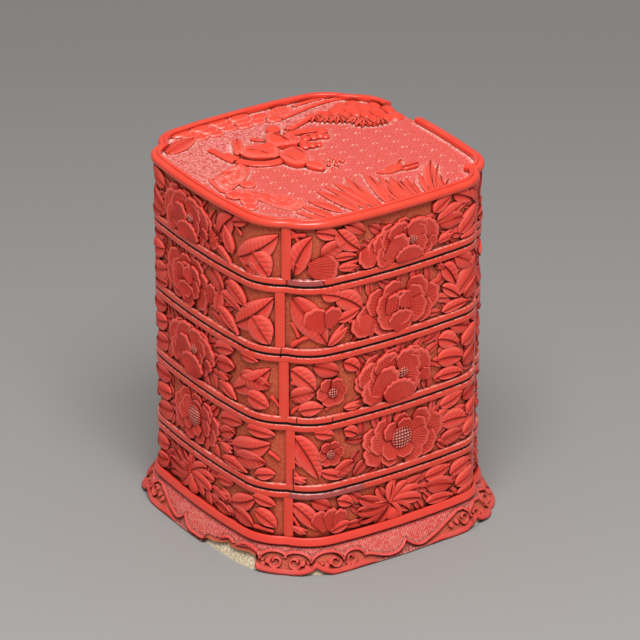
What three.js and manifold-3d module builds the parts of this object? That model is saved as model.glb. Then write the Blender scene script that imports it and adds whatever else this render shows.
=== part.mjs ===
// A tall stacking box of carved red lacquer: a lid, three loose trays and a base tray on a flared foot.
// Millimetres, +Z up. The origin is the middle of the footprint, on the surface the box stands on.
// The sides face +X, -X, +Y and -Y, and the notched corners lie on the diagonals.
import * as THREE from 'three';
import { ParametricGeometry } from 'three/addons/geometries/ParametricGeometry.js';
import { mergeVertices } from 'three/addons/utils/BufferGeometryUtils.js';
import Module from 'manifold-3d';

const wasm = await Module();
wasm.setup();

const degrees = THREE.MathUtils.degToRad;

// Plan of the box, measured at the rims of the trays
const HALF_WIDTH = 55.2;                 // from the axis to the middle of a side
const SIDE_TURN = degrees(6);            // how far the wall turns from a side's middle to its shoulder
const SHARP_CORNER = { radius: 13.5, turn: degrees(72) };   // two corners with a deep notch
const SOFT_CORNER = { radius: 20.5, turn: degrees(58) };    // the two others, with a shallow dip
const CUSP_BLUNT = degrees(2);           // the shoulder arc stops this much short of the notch

// Heights of the stack, from the ground up
const FOOT_HEIGHT = 10.4;
const LEDGE_HEIGHT = 3.3;
const BASE_HEIGHT = 20.3;
const TRAY_HEIGHT = 29.4;
const LID_HEIGHT = 27.8;

// Layers of a wall, from outside to inside
const LACQUER = 2.2;                     // carved lacquer at its rims
const CARVING_DEPTH = 1.3;               // how far the ground between the rims is cut back
const WALL = 2.6;                        // composition core
const LINING = 0.6;                      // black lacquer inside
const COLLAR = 1.4;                      // upright lip that the tier above slips over

// Fits
const SEAM_GAP = 0.6;                    // dark line between the lacquer of two tiers
const COLLAR_PLAY = 0.3;                 // sideways play between a lip and the tier above
const COLLAR_HEADROOM = 0.8;             // space above a lip, under the floor above
const SKIN_GAP = 0.3;                    // between the foot's flared core and its lacquer

// Details
const RIM_HEIGHT = 2.7;                  // plain fillet above and below the carving
const RIM_CHAMFER = 0.5;
const STILE_WIDTH = 3.8;                 // plain upright that covers each corner
const STILE_INSET = 0.1;
const COLLAR_RISE = 3.2;                 // how far the lip stands above its tray
const COLLAR_GRIP = 7;                   // how far the lip reaches down inside its tray
const FLOOR = 2.4;
const LID_BOARD = 3;
const FIELD_THICKNESS = 1.2;             // lacquer of the carved field on the lid
const LID_RIM_HEIGHT = 3.6;
const LID_RIM_WIDTH = 3.4;
const LID_RIM_OVERHANG = 0.8;
const LID_RIM_BREAK = { from: -27, to: -9.6 };   // stretch of the +Y side where the rim is lost
const FOOT_FLARE = 6;                    // how far the foot's lower edge stands out
const FOOT_SKIN = 1.4;
const FOOT_RING_WIDTH = 8;               // how far the foot reaches in under the floor
const LEDGE_FLARE = 1.3;
const SKIN_CLEARANCE = 0.3;              // from the lacquer's lowest edge to the ground
const NOTCH = { half: 3.4, height: 5.2 };        // pointed notch in the middle of each side of the foot
const FOOT_BREAK = { from: 12, to: 35, height: 7 };   // lost lacquer on the -Y side of the foot

// Main forms of the relief. Each panel is drawn from the middle of a side and from its lower edge, and
// is stretched to the panel that it is cut in. A flower is [x, y, width, height], and a leaf goes from
// its tail to its tip: [x, y, x, y, width]. The -Y side and the +X side differ, and the sides behind
// repeat them.
const RELIEF_INSET = 0.1;                // how far leaves stay under the rims
const RELIEF_SLOPE = 0.5;                // how far their edges lie under their ridge
const RELIEF_ROOT = 0.4;                 // how deep a motif reaches into the ground, to join it
const RELIEF_MARGIN = 0.3;               // from a motif to a panel edge that has no fillet
const DRAWN_HALF_WIDTH = 55.2;           // width of the box that the motifs are drawn for
const FLOWER_LOBES = 5;
const LOBE_DEPTH = 0.16;                 // notch between two lobes, as a share of the radius
const MOUND_CORNERS = 8;
const GARLANDS = {
  lid: {
    height: 21.2,
    front: {
      flowers: [[-10, 9, 35, 20]],
      leaves: [[24.5, 4.3, 44.5, 18, 9.5], [33.5, 9.5, 41, 0.5, 10.5], [13, 9.5, 22, 20, 9],
        [-28, 4, -42, 10, 8], [-27, 15, -40, 19.5, 7]],
    },
    side: {
      flowers: [[3.5, 7.5, 33, 19]],
      leaves: [[-45, 1.5, -37.5, 18, 8.2], [-34, 9.5, -23.5, 13.5, 7], [-27, 19.5, -17, 9.5, 7],
        [20, 10, 33, 13, 9], [30, 3.5, 44, 11.5, 7.5]],
    },
  },
  upper_tray: {
    height: 23.4,
    front: {
      flowers: [[-10, 11, 34, 22]],
      leaves: [[23, 5, 42.5, 21, 9.5], [33, 12, 41, 1.2, 11], [18, 21, 30, 14.5, 7],
        [-27, 8, -40, 4, 8], [-28, 17, -42, 14.5, 7.5]],
    },
    side: {
      flowers: [[1.5, 9.5, 38, 23]],
      leaves: [[-46, 21.5, -31.5, 1.5, 11], [-28, 21.5, -16, 13.5, 8], [-31, 8, -34, 17, 9],
        [29, 7, 46, 19.5, 9.5], [28, 23.5, 38, 17, 7]],
    },
  },
  middle_tray: {
    height: 23.4,
    front: {
      flowers: [[-8, 12, 34, 21]],
      leaves: [[22, 6, 41, 20, 8], [26, 13, 41, 12, 7.5], [30, 6.5, 40.5, 3.5, 7.5],
        [-26, 6, -40, 3, 7.5], [-27, 15, -41, 12, 7.5]],
    },
    side: {
      flowers: [[-1, 10.5, 37, 22], [-29, 10, 14, 13]],
      leaves: [[-46, 20.5, -36, 12, 8], [-37, 22, -26, 17.5, 7], [20, 11, 33, 8.5, 8],
        [32, 14, 45, 18.5, 7.5], [33, 5, 46, 9.5, 7]],
    },
  },
  lower_tray: {
    height: 23.4,
    front: {
      flowers: [[-5, 12, 34, 22]],
      leaves: [[20, 10, 41, 17, 9], [23, 5.5, 39, 8, 7.5], [13, 19, 27, 22, 6.5],
        [-23, 6, -37, 3.5, 7.5], [-24, 14, -38, 12, 7]],
    },
    side: {
      flowers: [[2.5, 11.5, 39, 23], [-30, 13, 12, 12]],
      leaves: [[-45, 21.5, -34.5, 2.5, 9], [22, 12, 36, 10.5, 8], [33, 19.5, 46, 21.5, 6.5],
        [35, 12, 46, 15.5, 6.5], [33, 4, 46, 5.5, 6.5]],
    },
  },
  base: {
    height: 17.3,
    front: {
      flowers: [[-9, 9, 34, 19]],
      leaves: [[19, 8, 34, 15, 7], [21, 5, 33, 2, 6.5], [34, 10, 43.5, 4, 6.5],
        [-27, 6, -40, 3, 6.5], [-27, 13, -41, 12, 6.5]],
    },
    side: {
      flowers: [[-3, 8, 34, 19]],
      leaves: [[-45.5, 15, -34, 3, 7], [-32, 3, -29, 12, 9], [15, 9, 28, 6, 7],
        [27, 11, 39, 14, 6.5], [30, 5, 44, 8, 7]],
    },
  },
};

// The lid's landscape, drawn in plan: reeds as leaves, then rocks, pine and clouds as mounds of
// [x, y, width, depth, rise]
const BLADE_RISE = 1;
const LANDSCAPE = {
  blades: [[53, -29, 25, -16, 5], [53, -17, 20, -5, 5], [53, -4, 17, 3, 5], [53, 5, 24, 11, 5],
    [53, 14, 22, 22, 5], [49, 18, 27, 35, 5], [20, 14, 30, 27, 4.6], [6, -38, 36, -35, 3.6],
    [-30, 3, -41, 41, 3.6], [-32, -30, -6, -15, 4], [-9, -20, 8, -3, 7]],
  mounds: [[-46, -31, 8, 17, 1], [-47, -12, 8, 18, 1], [-47, 10, 8, 20, 1], [-29, 28, 16, 8, 1.7],
    [-20, 38, 12, 12, 1.7], [-28, 48, 18, 12, 1.7], [-31, -5, 12, 14, 1.5], [-21, -12, 12, 12, 1.5],
    [-14, -2, 12, 9, 1.4], [-22, 9, 10, 10, 1.2], [-5, -41, 15, 12, 0.9], [14, -45, 16, 7, 0.9]],
};

// Number of straight pieces in each shoulder arc
const ARC_STEPS = 3;

const RED_LACQUER = { color: 0xc8382c, roughness: 0.42, metalness: 0 };
const FIELD_LACQUER = { color: 0xcf4a42, roughness: 0.55, metalness: 0 };
const BLACK_LACQUER = { color: 0x15110f, roughness: 0.25, metalness: 0 };
const COMPOSITION = { color: 0xa8946f, roughness: 0.85, metalness: 0 };
const WOOD = { color: 0x8a6a48, roughness: 0.7, metalness: 0 };

// The bow of a side and the centre of its shoulder, for one kind of corner
function arcs(corner) {
  const { radius, turn } = corner;
  const sine = Math.sin(SIDE_TURN);
  const cosine = Math.cos(SIDE_TURN);
  const slack = radius * (cosine - sine + Math.sin(turn) - Math.cos(turn));
  const sideRadius = (HALF_WIDTH - slack) / (1 + sine - cosine);
  const centre = new THREE.Vector2(0, HALF_WIDTH - sideRadius)
    .add(new THREE.Vector2(sine, cosine).multiplyScalar(sideRadius - radius));
  return { sideRadius, centre };
}

// One half of a side, from its middle round the shoulder to the notch on the diagonal. The box has its
// rims at offset 0; other surfaces lie parallel to them, outwards for a positive offset.
function halfSide(corner, offset) {
  const { radius, turn } = corner;
  const { sideRadius, centre } = arcs(corner);
  const onShoulder = (angle, reach) => new THREE.Vector2(Math.sin(angle), Math.cos(angle))
    .multiplyScalar(radius + reach)
    .add(centre);
  const onSide = (angle) => new THREE.Vector2(
    (sideRadius + offset) * Math.sin(angle),
    HALF_WIDTH - sideRadius + (sideRadius + offset) * Math.cos(angle),
  );
  const trimmed = Math.PI / 4 + Math.asin((centre.y - centre.x) / (Math.SQRT2 * (radius + offset)));
  const end = offset < 0 ? turn : trimmed;
  const points = [onSide(0), onSide(SIDE_TURN / 2)];
  for (let step = 0; step <= ARC_STEPS; step += 1) {
    const angle = THREE.MathUtils.lerp(SIDE_TURN, end - CUSP_BLUNT, step / ARC_STEPS);
    points.push(onShoulder(angle, offset));
  }
  const inward = Math.min(offset, 0) * Math.SQRT1_2;
  const notch = onShoulder(end, Math.max(offset, 0));
  points.push(notch.add(new THREE.Vector2(inward, inward)));
  return points;
}

// The whole outline, clockwise from the middle of the +Y side
function outline(offset) {
  const points = [];
  const axis = new THREE.Vector2();
  for (let side = 0; side < 4; side += 1) {
    const turn = -side * Math.PI / 2;
    const ahead = side % 2 === 0 ? SHARP_CORNER : SOFT_CORNER;
    const forward = halfSide(ahead, offset);
    const backward = halfSide(ahead, offset).map((p) => new THREE.Vector2(p.y, p.x));
    const corner = [...forward, ...backward.reverse().slice(1, -1)];
    corner.forEach((point) => points.push(point.rotateAround(axis, turn)));
  }
  return points;
}

function weld(geometry) {
  const bare = geometry.clone();
  bare.deleteAttribute('normal');
  bare.deleteAttribute('uv');
  return mergeVertices(bare, 1e-5);
}

// A ring round the box with one section all the way: [offset, height] points, anticlockwise
function ring(section) {
  const loops = section.map(([offset, height]) => outline(offset)
    .map((point) => new THREE.Vector3(point.x, point.y, height)));
  const around = loops[0].length;
  const place = (u, v, target) => {
    const column = (around - Math.round(u * around)) % around;
    const row = Math.round(v * section.length) % section.length;
    target.copy(loops[row][column]);
  };
  return weld(new ParametricGeometry(place, around, section.length));
}

// A flat plate with the outline at one offset
function plate(offset, bottom, top) {
  const shape = new THREE.Shape(outline(offset));
  const geometry = new THREE.ExtrudeGeometry(shape, { depth: top - bottom, bevelEnabled: false });
  return weld(geometry.translate(0, 0, bottom));
}

// A section with straight sides
function band(outer, inner, bottom, top) {
  return [[inner, bottom], [outer, bottom], [outer, top], [inner, top]];
}

function toSolid(geometry) {
  const mesh = new wasm.Mesh({
    numProp: 3,
    vertProperties: new Float32Array(geometry.attributes.position.array),
    triVerts: new Uint32Array(geometry.index.array),
  });
  return new wasm.Manifold(mesh);
}

function toGeometry(solid) {
  const mesh = solid.getMesh();
  const geometry = new THREE.BufferGeometry();
  geometry.setAttribute('position', new THREE.BufferAttribute(mesh.vertProperties, 3));
  geometry.setIndex(new THREE.BufferAttribute(mesh.triVerts, 1));
  return geometry;
}

function join(first, ...others) {
  return toGeometry(others.reduce((whole, part) => whole.add(toSolid(part)), toSolid(first)));
}

function cut(first, ...others) {
  return toGeometry(others.reduce((whole, part) => whole.subtract(toSolid(part)), toSolid(first)));
}

function keep(first, other) {
  return toGeometry(toSolid(first).intersect(toSolid(other)));
}

function piece(name, geometry, finish) {
  const mesh = new THREE.Mesh(geometry, new THREE.MeshStandardMaterial(finish));
  mesh.name = name;
  return mesh;
}

// Surfaces that several pieces share
const CORE_OUTSIDE = -LACQUER;
const CORE_INSIDE = CORE_OUTSIDE - WALL;
const LINING_INSIDE = CORE_INSIDE - LINING;
const LIP_OUTSIDE = CORE_INSIDE - COLLAR_PLAY;
const LIP_INSIDE = LIP_OUTSIDE - COLLAR;
const RECESS = COLLAR_RISE + COLLAR_HEADROOM;   // free height under a tray's floor for the lip below

// Plain uprights that cover the corners of a carved band
function stiles(bottom, top) {
  return [SHARP_CORNER, SOFT_CORNER, SHARP_CORNER, SOFT_CORNER].map((corner, index) => {
    const notch = halfSide(corner, 0).at(-1);
    const outer = notch.length() - STILE_INSET;
    const inner = notch.length() - LACQUER + STILE_INSET;
    const upright = new THREE.BoxGeometry(outer - inner, STILE_WIDTH, top - bottom);
    upright.translate((outer + inner) / 2, 0, (top + bottom) / 2);
    upright.rotateZ(Math.PI / 4 - index * Math.PI / 2);
    return weld(upright);
  });
}

// Section of the carved lacquer on a tier, with a plain fillet at the top and, on trays, at the bottom
function carvedSection(bottom, top, fillets) {
  const ground = -CARVING_DEPTH;
  const section = [[CORE_OUTSIDE, bottom]];
  if (fillets.bottom) {
    section.push([-RIM_CHAMFER, bottom], [0, bottom + RIM_CHAMFER]);
    section.push([0, bottom + RIM_HEIGHT - RIM_CHAMFER], [ground, bottom + RIM_HEIGHT]);
  } else {
    section.push([ground, bottom]);
  }
  if (fillets.top) {
    section.push([ground, top - RIM_HEIGHT], [0, top - RIM_HEIGHT + RIM_CHAMFER]);
    section.push([0, top - RIM_CHAMFER], [-RIM_CHAMFER, top]);
  } else {
    section.push([ground, top]);
  }
  section.push([CORE_OUTSIDE, top]);
  return section;
}

// A closed block over an outline of [x, y, height] points with a peak over its middle, put in place by
// a function of x, y and height
function block(shape, peak, root, place) {
  const count = shape.length;
  const middle = shape.reduce((sum, [x, y]) => [sum[0] + x / count, sum[1] + y / count], [0, 0]);
  const corners = [
    ...shape.map(([x, y, height]) => place(x, y, height)),
    ...shape.map(([x, y]) => place(x, y, root)),
    place(...middle, peak),
    place(...middle, root),
  ];
  const index = [];
  for (let here = 0; here < count; here += 1) {
    const next = (here + 1) % count;
    index.push(here, next, 2 * count);
    index.push(count + next, count + here, 2 * count + 1);
    index.push(count + here, count + next, next, count + here, next, here);
  }
  const geometry = new THREE.BufferGeometry();
  geometry.setAttribute('position', new THREE.Float32BufferAttribute(corners.flat(), 3));
  geometry.setIndex(index);
  return geometry;
}

// A leaf with a ridge from tail to tip
function leaf([tailX, tailY, tipX, tipY, width], peak, root, place) {
  const tail = new THREE.Vector2(tailX, tailY);
  const ahead = new THREE.Vector2(tipX, tipY).sub(tail);
  const aside = new THREE.Vector2(-ahead.y, ahead.x).setLength(width / 2);
  const spot = (share, sideways, height) => {
    const at = tail.clone().addScaledVector(ahead, share).addScaledVector(aside, sideways);
    return [at.x, at.y, height];
  };
  const low = peak - RELIEF_SLOPE;
  const shape = [
    spot(0, 0, peak), spot(0.25, -0.85, low), spot(0.65, -0.85, low),
    spot(1, 0, peak), spot(0.65, 0.85, low), spot(0.25, 0.85, low),
  ];
  return block(shape, peak, root, place);
}

// A round mound, or a flower where it has lobes
function mound([x, y, width, height], corners, lobe, peak, root, place) {
  const shape = [];
  for (let corner = 0; corner < corners; corner += 1) {
    const angle = 2 * Math.PI * corner / corners;
    const reach = corner % 2 === 0 ? 1 : 1 - lobe;
    const across = reach * Math.cos(angle) * width / 2;
    const upward = reach * Math.sin(angle) * height / 2;
    shape.push([x + across, y + upward, peak - RELIEF_SLOPE]);
  }
  return block(shape, peak, root, place);
}

// A point on the wall, seen from outside: along a side from its middle, and out from the rims. Side 0
// is -Y, and the sides go round anticlockwise.
function onWall(side, along, reach, height) {
  const corner = (along > 0) === (side % 2 === 0) ? SOFT_CORNER : SHARP_CORNER;
  const { sideRadius, centre } = arcs(corner);
  const bowLength = sideRadius * SIDE_TURN;
  const distance = Math.abs(along);
  const bowed = distance < bowLength;
  const turn = bowed ? distance / sideRadius : SIDE_TURN + (distance - bowLength) / corner.radius;
  const radius = (bowed ? sideRadius : corner.radius) + reach;
  const pivot = bowed ? new THREE.Vector2(0, HALF_WIDTH - sideRadius) : centre;
  const point = new THREE.Vector2(Math.sin(turn), Math.cos(turn)).multiplyScalar(radius).add(pivot);
  const flat = new THREE.Vector2(Math.sign(along) * point.x, -point.y);
  flat.rotateAround(new THREE.Vector2(), side * Math.PI / 2);
  return [flat.x, flat.y, height];
}

// The main leaves and flowers of a panel, on all four sides
function garland(layout, foot, head, fillets) {
  const stretchX = HALF_WIDTH / DRAWN_HALF_WIDTH;
  const stretchY = (head - foot) / layout.height;
  const lowest = fillets.bottom ? -RIM_HEIGHT / 2 : RELIEF_MARGIN;
  const highest = head - foot + (fillets.top ? RIM_HEIGHT / 2 : -RELIEF_MARGIN);
  const peak = -RELIEF_INSET;
  const root = -CARVING_DEPTH - RELIEF_ROOT;
  return [layout.front, layout.side, layout.front, layout.side].flatMap(({ flowers, leaves }, side) => {
    const place = (x, y, reach) => {
      const rise = THREE.MathUtils.clamp(y * stretchY, lowest, highest);
      return onWall(side, x * stretchX, reach, foot + rise);
    };
    return [
      ...leaves.map((shape) => leaf(shape, peak, root, place)),
      ...flowers.map((shape) => mound(shape, FLOWER_LOBES * 2, LOBE_DEPTH, peak, root, place)),
    ];
  });
}

function carving(bottom, top, fillets, layout) {
  const foot = fillets.bottom ? bottom + RIM_HEIGHT : bottom;
  const head = fillets.top ? top - RIM_HEIGHT : top;
  const barFoot = fillets.bottom ? foot - RIM_HEIGHT / 2 : foot;
  const barHead = fillets.top ? head + RIM_HEIGHT / 2 : head;
  const lacquer = join(
    ring(carvedSection(bottom, top, fillets)),
    ...stiles(barFoot, barHead),
    ...garland(layout, foot, head, fillets),
  );
  return cut(lacquer, plate(CORE_OUTSIDE, bottom - RIM_HEIGHT, top + RIM_HEIGHT));
}

// Black lining of the inside: a shallow cup under the lip
function liningCup(floorTop, rim) {
  const hollow = plate(LINING_INSIDE, floorTop + LINING, rim + LINING);
  return cut(plate(CORE_INSIDE, floorTop, rim), hollow);
}

function lip(top) {
  const grip = top - COLLAR_GRIP;
  return ring([
    [LIP_INSIDE, grip],
    [CORE_INSIDE, grip],
    [CORE_INSIDE, top],
    [LIP_OUTSIDE, top],
    [LIP_OUTSIDE, top + COLLAR_RISE],
    [LIP_INSIDE, top + COLLAR_RISE],
  ]);
}

// One open tier that stands on its lower edge: wall, floor, lining, lip and carved lacquer
function tier(name, height, floorBottom, fillets) {
  const group = new THREE.Group();
  const floorTop = floorBottom + FLOOR;
  const lacquerBottom = fillets.bottom ? SEAM_GAP / 2 : 0;
  group.add(
    piece(`${name}_wall`, ring(band(CORE_OUTSIDE, CORE_INSIDE, 0, height)), COMPOSITION),
    piece(`${name}_floor`, plate(CORE_INSIDE, floorBottom, floorTop), WOOD),
    piece(`${name}_lining`, liningCup(floorTop, height - COLLAR_GRIP), BLACK_LACQUER),
    piece(`${name}_lip`, lip(height), BLACK_LACQUER),
    piece(
      `${name}_carving`,
      carving(lacquerBottom, height - SEAM_GAP / 2, fillets, GARLANDS[name]),
      RED_LACQUER,
    ),
  );
  return group;
}

// The foot: a flared ring, its lacquer with a notched lower edge, and the plain ledge on top of it
function flare(height) {
  const fall = 1 - height / FOOT_HEIGHT;
  return FOOT_FLARE * fall ** 0.8;
}

function footCutters() {
  const reach = HALF_WIDTH;
  const notchShape = new THREE.Shape([
    new THREE.Vector2(-NOTCH.half, -1),
    new THREE.Vector2(NOTCH.half, -1),
    new THREE.Vector2(NOTCH.half / 2, NOTCH.height / 2),
    new THREE.Vector2(0, NOTCH.height),
    new THREE.Vector2(-NOTCH.half / 2, NOTCH.height / 2),
  ]);
  const width = FOOT_BREAK.to - FOOT_BREAK.from;
  const breakShape = new THREE.Shape([
    new THREE.Vector2(FOOT_BREAK.from, -1),
    new THREE.Vector2(FOOT_BREAK.to, -1),
    new THREE.Vector2(FOOT_BREAK.to - width / 8, FOOT_BREAK.height),
    new THREE.Vector2(FOOT_BREAK.from + width / 3, FOOT_BREAK.height),
  ]);
  // Standing shapes are drawn upright and then pushed out through the -Y side
  const upright = (shape) => new THREE.ExtrudeGeometry(shape, { depth: reach, bevelEnabled: false })
    .rotateX(Math.PI / 2)
    .translate(0, -HALF_WIDTH / 2, 0);
  const notches = [0, 1, 2, 3].map((side) => upright(notchShape).rotateZ(side * Math.PI / 2));
  return [...notches, upright(breakShape)].map(weld);
}

function foot() {
  const group = new THREE.Group();
  const coreOutside = (height) => flare(height) - FOOT_SKIN - SKIN_GAP;
  const levels = [0, 0.15, 0.45, 0.75, 1].map((share) => share * FOOT_HEIGHT);
  const core = [[-FOOT_RING_WIDTH, 0]];
  levels.forEach((height) => core.push([coreOutside(height), height]));
  core.push([-FOOT_RING_WIDTH, FOOT_HEIGHT]);
  const skinLevels = [SKIN_CLEARANCE, ...levels.slice(1, -1), FOOT_HEIGHT];
  const skin = skinLevels.map((height) => [flare(height), height]);
  [...skinLevels].reverse().forEach((height) => skin.push([flare(height) - FOOT_SKIN, height]));
  const apron = cut(ring(skin), ...footCutters());
  group.add(
    piece('foot_core', ring(core), COMPOSITION),
    piece('foot_apron', apron, RED_LACQUER),
  );
  return group;
}

function ledge() {
  const section = [
    [-FOOT_RING_WIDTH, 0],
    [LEDGE_FLARE - RIM_CHAMFER, 0],
    [LEDGE_FLARE, RIM_CHAMFER],
    [RIM_CHAMFER, LEDGE_HEIGHT - RIM_CHAMFER],
    [-RIM_CHAMFER, LEDGE_HEIGHT],
    [-FOOT_RING_WIDTH, LEDGE_HEIGHT],
  ];
  return piece('foot_ledge', ring(section), RED_LACQUER);
}

// The lid's raised rim, with a stretch lost
function lidRim(bottom) {
  const top = bottom + LID_RIM_HEIGHT;
  const out = LID_RIM_OVERHANG;
  const inner = out - LID_RIM_WIDTH;
  const whole = ring([
    [inner, bottom],
    [out - RIM_CHAMFER, bottom],
    [out, bottom + RIM_CHAMFER],
    [out, bottom + LID_RIM_HEIGHT / 2],
    [out - LID_RIM_WIDTH / 3, top - RIM_CHAMFER],
    [out - LID_RIM_WIDTH / 2, top],
    [inner + RIM_CHAMFER, top],
    [inner, top - RIM_CHAMFER],
  ]);
  const { from, to } = LID_RIM_BREAK;
  const gap = new THREE.BoxGeometry(to - from, HALF_WIDTH, 2 * LID_RIM_HEIGHT);
  gap.translate((from + to) / 2, HALF_WIDTH, bottom + LID_RIM_HEIGHT / 2);
  return cut(whole, weld(gap));
}

// The sunken field with the main forms of its landscape
function field(bottom, top) {
  const edge = LID_RIM_OVERHANG - LID_RIM_WIDTH;
  const stretch = HALF_WIDTH / DRAWN_HALF_WIDTH;
  const place = (x, y, height) => [x * stretch, y * stretch, top + height];
  const { blades, mounds } = LANDSCAPE;
  const carved = join(
    plate(edge, bottom, top),
    ...blades.map((shape) => leaf(shape, BLADE_RISE, -RELIEF_ROOT, place)),
    ...mounds.map((shape) => mound(shape, MOUND_CORNERS, 0, shape[4], -RELIEF_ROOT, place)),
  );
  return keep(carved, plate(edge, bottom, bottom + LID_RIM_HEIGHT));
}

// The lid: a shallow box turned over, with the rim round the sunken field
function lid() {
  const group = new THREE.Group();
  const lacquerTop = LID_HEIGHT - LID_RIM_HEIGHT;
  const boardBottom = lacquerTop - LID_BOARD;
  const ceiling = boardBottom - LINING;
  const walled = plate(CORE_INSIDE, RECESS, boardBottom);
  const hollow = plate(LINING_INSIDE, 0, ceiling);
  const fieldTop = lacquerTop + FIELD_THICKNESS;
  const fillets = { bottom: true, top: false };
  group.add(
    piece('lid_wall', ring(band(CORE_OUTSIDE, CORE_INSIDE, 0, lacquerTop)), COMPOSITION),
    piece('lid_board', plate(CORE_INSIDE, boardBottom, lacquerTop), WOOD),
    piece('lid_lining', cut(walled, hollow), BLACK_LACQUER),
    piece('lid_carving', carving(SEAM_GAP / 2, lacquerTop, fillets, GARLANDS.lid), RED_LACQUER),
    piece('lid_field', field(lacquerTop, fieldTop), FIELD_LACQUER),
    piece('lid_rim', lidRim(lacquerTop), RED_LACQUER),
  );
  return group;
}

const box = new THREE.Group();
const ledgePiece = ledge();
ledgePiece.position.z = FOOT_HEIGHT;
box.add(foot(), ledgePiece);

let level = FOOT_HEIGHT + LEDGE_HEIGHT;
const base = tier('base', BASE_HEIGHT, 0, { bottom: false, top: true });
base.position.z = level;
box.add(base);
level += BASE_HEIGHT;

for (const name of ['lower_tray', 'middle_tray', 'upper_tray']) {
  const tray = tier(name, TRAY_HEIGHT, RECESS, { bottom: true, top: true });
  tray.position.z = level;
  box.add(tray);
  level += TRAY_HEIGHT;
}

const cover = lid();
cover.position.z = level;
box.add(cover);

export default box;
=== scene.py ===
# %% [markdown]
# # A stacking box of carved red lacquer
#
# A base, three trays and a lid stand on each other. Each tier is a core of wood and composition
# under many coats of red lacquer, carved with flowers down to a tan ground and lined in black.
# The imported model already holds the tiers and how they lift. This lesson dresses them: it keeps the
# hidden cores, and makes the carved skins with Geometry Nodes sweeps and numpy relief.

# %% Load the frame
import math

import bpy
import numpy as np
from mathutils import Matrix, Vector


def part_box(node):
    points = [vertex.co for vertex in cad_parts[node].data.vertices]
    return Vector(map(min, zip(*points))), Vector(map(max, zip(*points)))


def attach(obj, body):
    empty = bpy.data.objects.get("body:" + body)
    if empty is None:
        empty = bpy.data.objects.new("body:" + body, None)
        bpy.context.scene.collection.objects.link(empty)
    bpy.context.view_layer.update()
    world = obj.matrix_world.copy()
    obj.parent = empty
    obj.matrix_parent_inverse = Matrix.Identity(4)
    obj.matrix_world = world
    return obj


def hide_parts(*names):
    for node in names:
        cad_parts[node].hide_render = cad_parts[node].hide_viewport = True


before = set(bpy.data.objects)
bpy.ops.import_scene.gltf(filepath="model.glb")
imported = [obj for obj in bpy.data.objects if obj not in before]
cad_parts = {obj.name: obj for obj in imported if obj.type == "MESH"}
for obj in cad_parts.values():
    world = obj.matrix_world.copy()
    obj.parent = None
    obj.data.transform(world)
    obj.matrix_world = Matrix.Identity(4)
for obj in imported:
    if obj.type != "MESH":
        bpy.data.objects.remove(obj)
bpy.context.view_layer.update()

# %% [markdown]
# ## Sizes
#
# The plan is a square with gently bowed sides whose corners turn in shoulders. Two corners have a
# deep notch and two have a shallow dip. Sizes are in millimetres, with heights read off the frame.

# %% Sizes of the plan and the skin
MM = 0.001
HALF_WIDTH = 55.2
SIDE_TURN = math.radians(6)
SHARP = {"radius": 13.5, "turn": math.radians(72)}
SOFT = {"radius": 20.5, "turn": math.radians(58)}
# How far the tan ground and the core lie inside the rim line, then the height of a plain fillet
GROUND, CORE = -1.6, -2.2
FILLET = 2.7
TIERS = ["base", "lower_tray", "middle_tray", "upper_tray", "lid"]


def level(node, corner):
    """The lowest (0) or highest (1) height of a solid, in mm"""
    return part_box(node)[corner].z / MM


SKIN = {tier: (level(tier + "_carving", 0), level(tier + "_carving", 1)) for tier in TIERS}
print("skins from", round(SKIN["base"][0], 1), "to", round(SKIN["lid"][1], 1), "mm")

# %% Points on the wall
def corner_ahead(side, u):
    """True where the half of a side at u ends in a soft corner"""
    return (u > 0) == (side % 2 == 0)


def half_side(corner):
    """The arcs of half a side: the bow's radius, the shoulder's centre and where it meets the diagonal"""
    radius, turn = corner["radius"], corner["turn"]
    sine, cosine = math.sin(SIDE_TURN), math.cos(SIDE_TURN)
    slack = radius * (cosine - sine + math.sin(turn) - math.cos(turn))
    bow = (HALF_WIDTH - slack) / (1 + sine - cosine)
    centre = (sine * (bow - radius), HALF_WIDTH - bow + cosine * (bow - radius))
    meets = math.pi / 4 + math.asin((centre[1] - centre[0]) / (math.sqrt(2) * radius))
    length = bow * SIDE_TURN + radius * (meets - SIDE_TURN)
    return {"bow": bow, "centre": centre, "radius": radius, "meets": meets, "length": length}


HALF = {True: half_side(SOFT), False: half_side(SHARP)}


def wall(side, u, reach):
    """Plan points at u along a side's rim line, moved outwards by reach. Sides go round from -Y."""
    u, reach = np.broadcast_arrays(np.asarray(u, float), np.asarray(reach, float))
    along, out = np.zeros(u.shape), np.zeros(u.shape)
    for soft in (True, False):
        half = HALF[soft]
        here = corner_ahead(side, u) == soft
        span, bow_end = np.abs(u), half["bow"] * SIDE_TURN
        on_bow = span < bow_end
        turn = np.where(on_bow, span / half["bow"], SIDE_TURN + (span - bow_end) / half["radius"])
        radius = np.where(on_bow, half["bow"], half["radius"]) + reach
        x = np.where(on_bow, 0.0, half["centre"][0]) + radius * np.sin(turn)
        y = np.where(on_bow, HALF_WIDTH - half["bow"], half["centre"][1]) + radius * np.cos(turn)
        along = np.where(here, np.sign(u) * x, along)
        out = np.where(here, y, out)
    turned = {0: (along, -out), 1: (out, along), 2: (-along, out), 3: (-out, -along)}
    return turned[side]


def side_ends(side):
    """How far a side reaches to its left and right notch"""
    return -HALF[corner_ahead(side, -1.0)]["length"], HALF[corner_ahead(side, 1.0)]["length"]


RING_STEPS = 44


def ring_path(reach):
    """The whole outline at one reach, going round from the -Y side, as plan points"""
    path = []
    for side in range(4):
        left, right = side_ends(side)
        x, y = wall(side, np.linspace(left, right, RING_STEPS + 1), reach)
        keep = slice(2, -2) if reach > 0 else slice(1, -1)
        path.extend(zip(x[keep], y[keep]))
        ear = np.array([float(value) for value in wall(side, right, 0.0)])
        path.append(tuple(ear * (1 + reach / np.hypot(*ear))))
    return path


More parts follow.
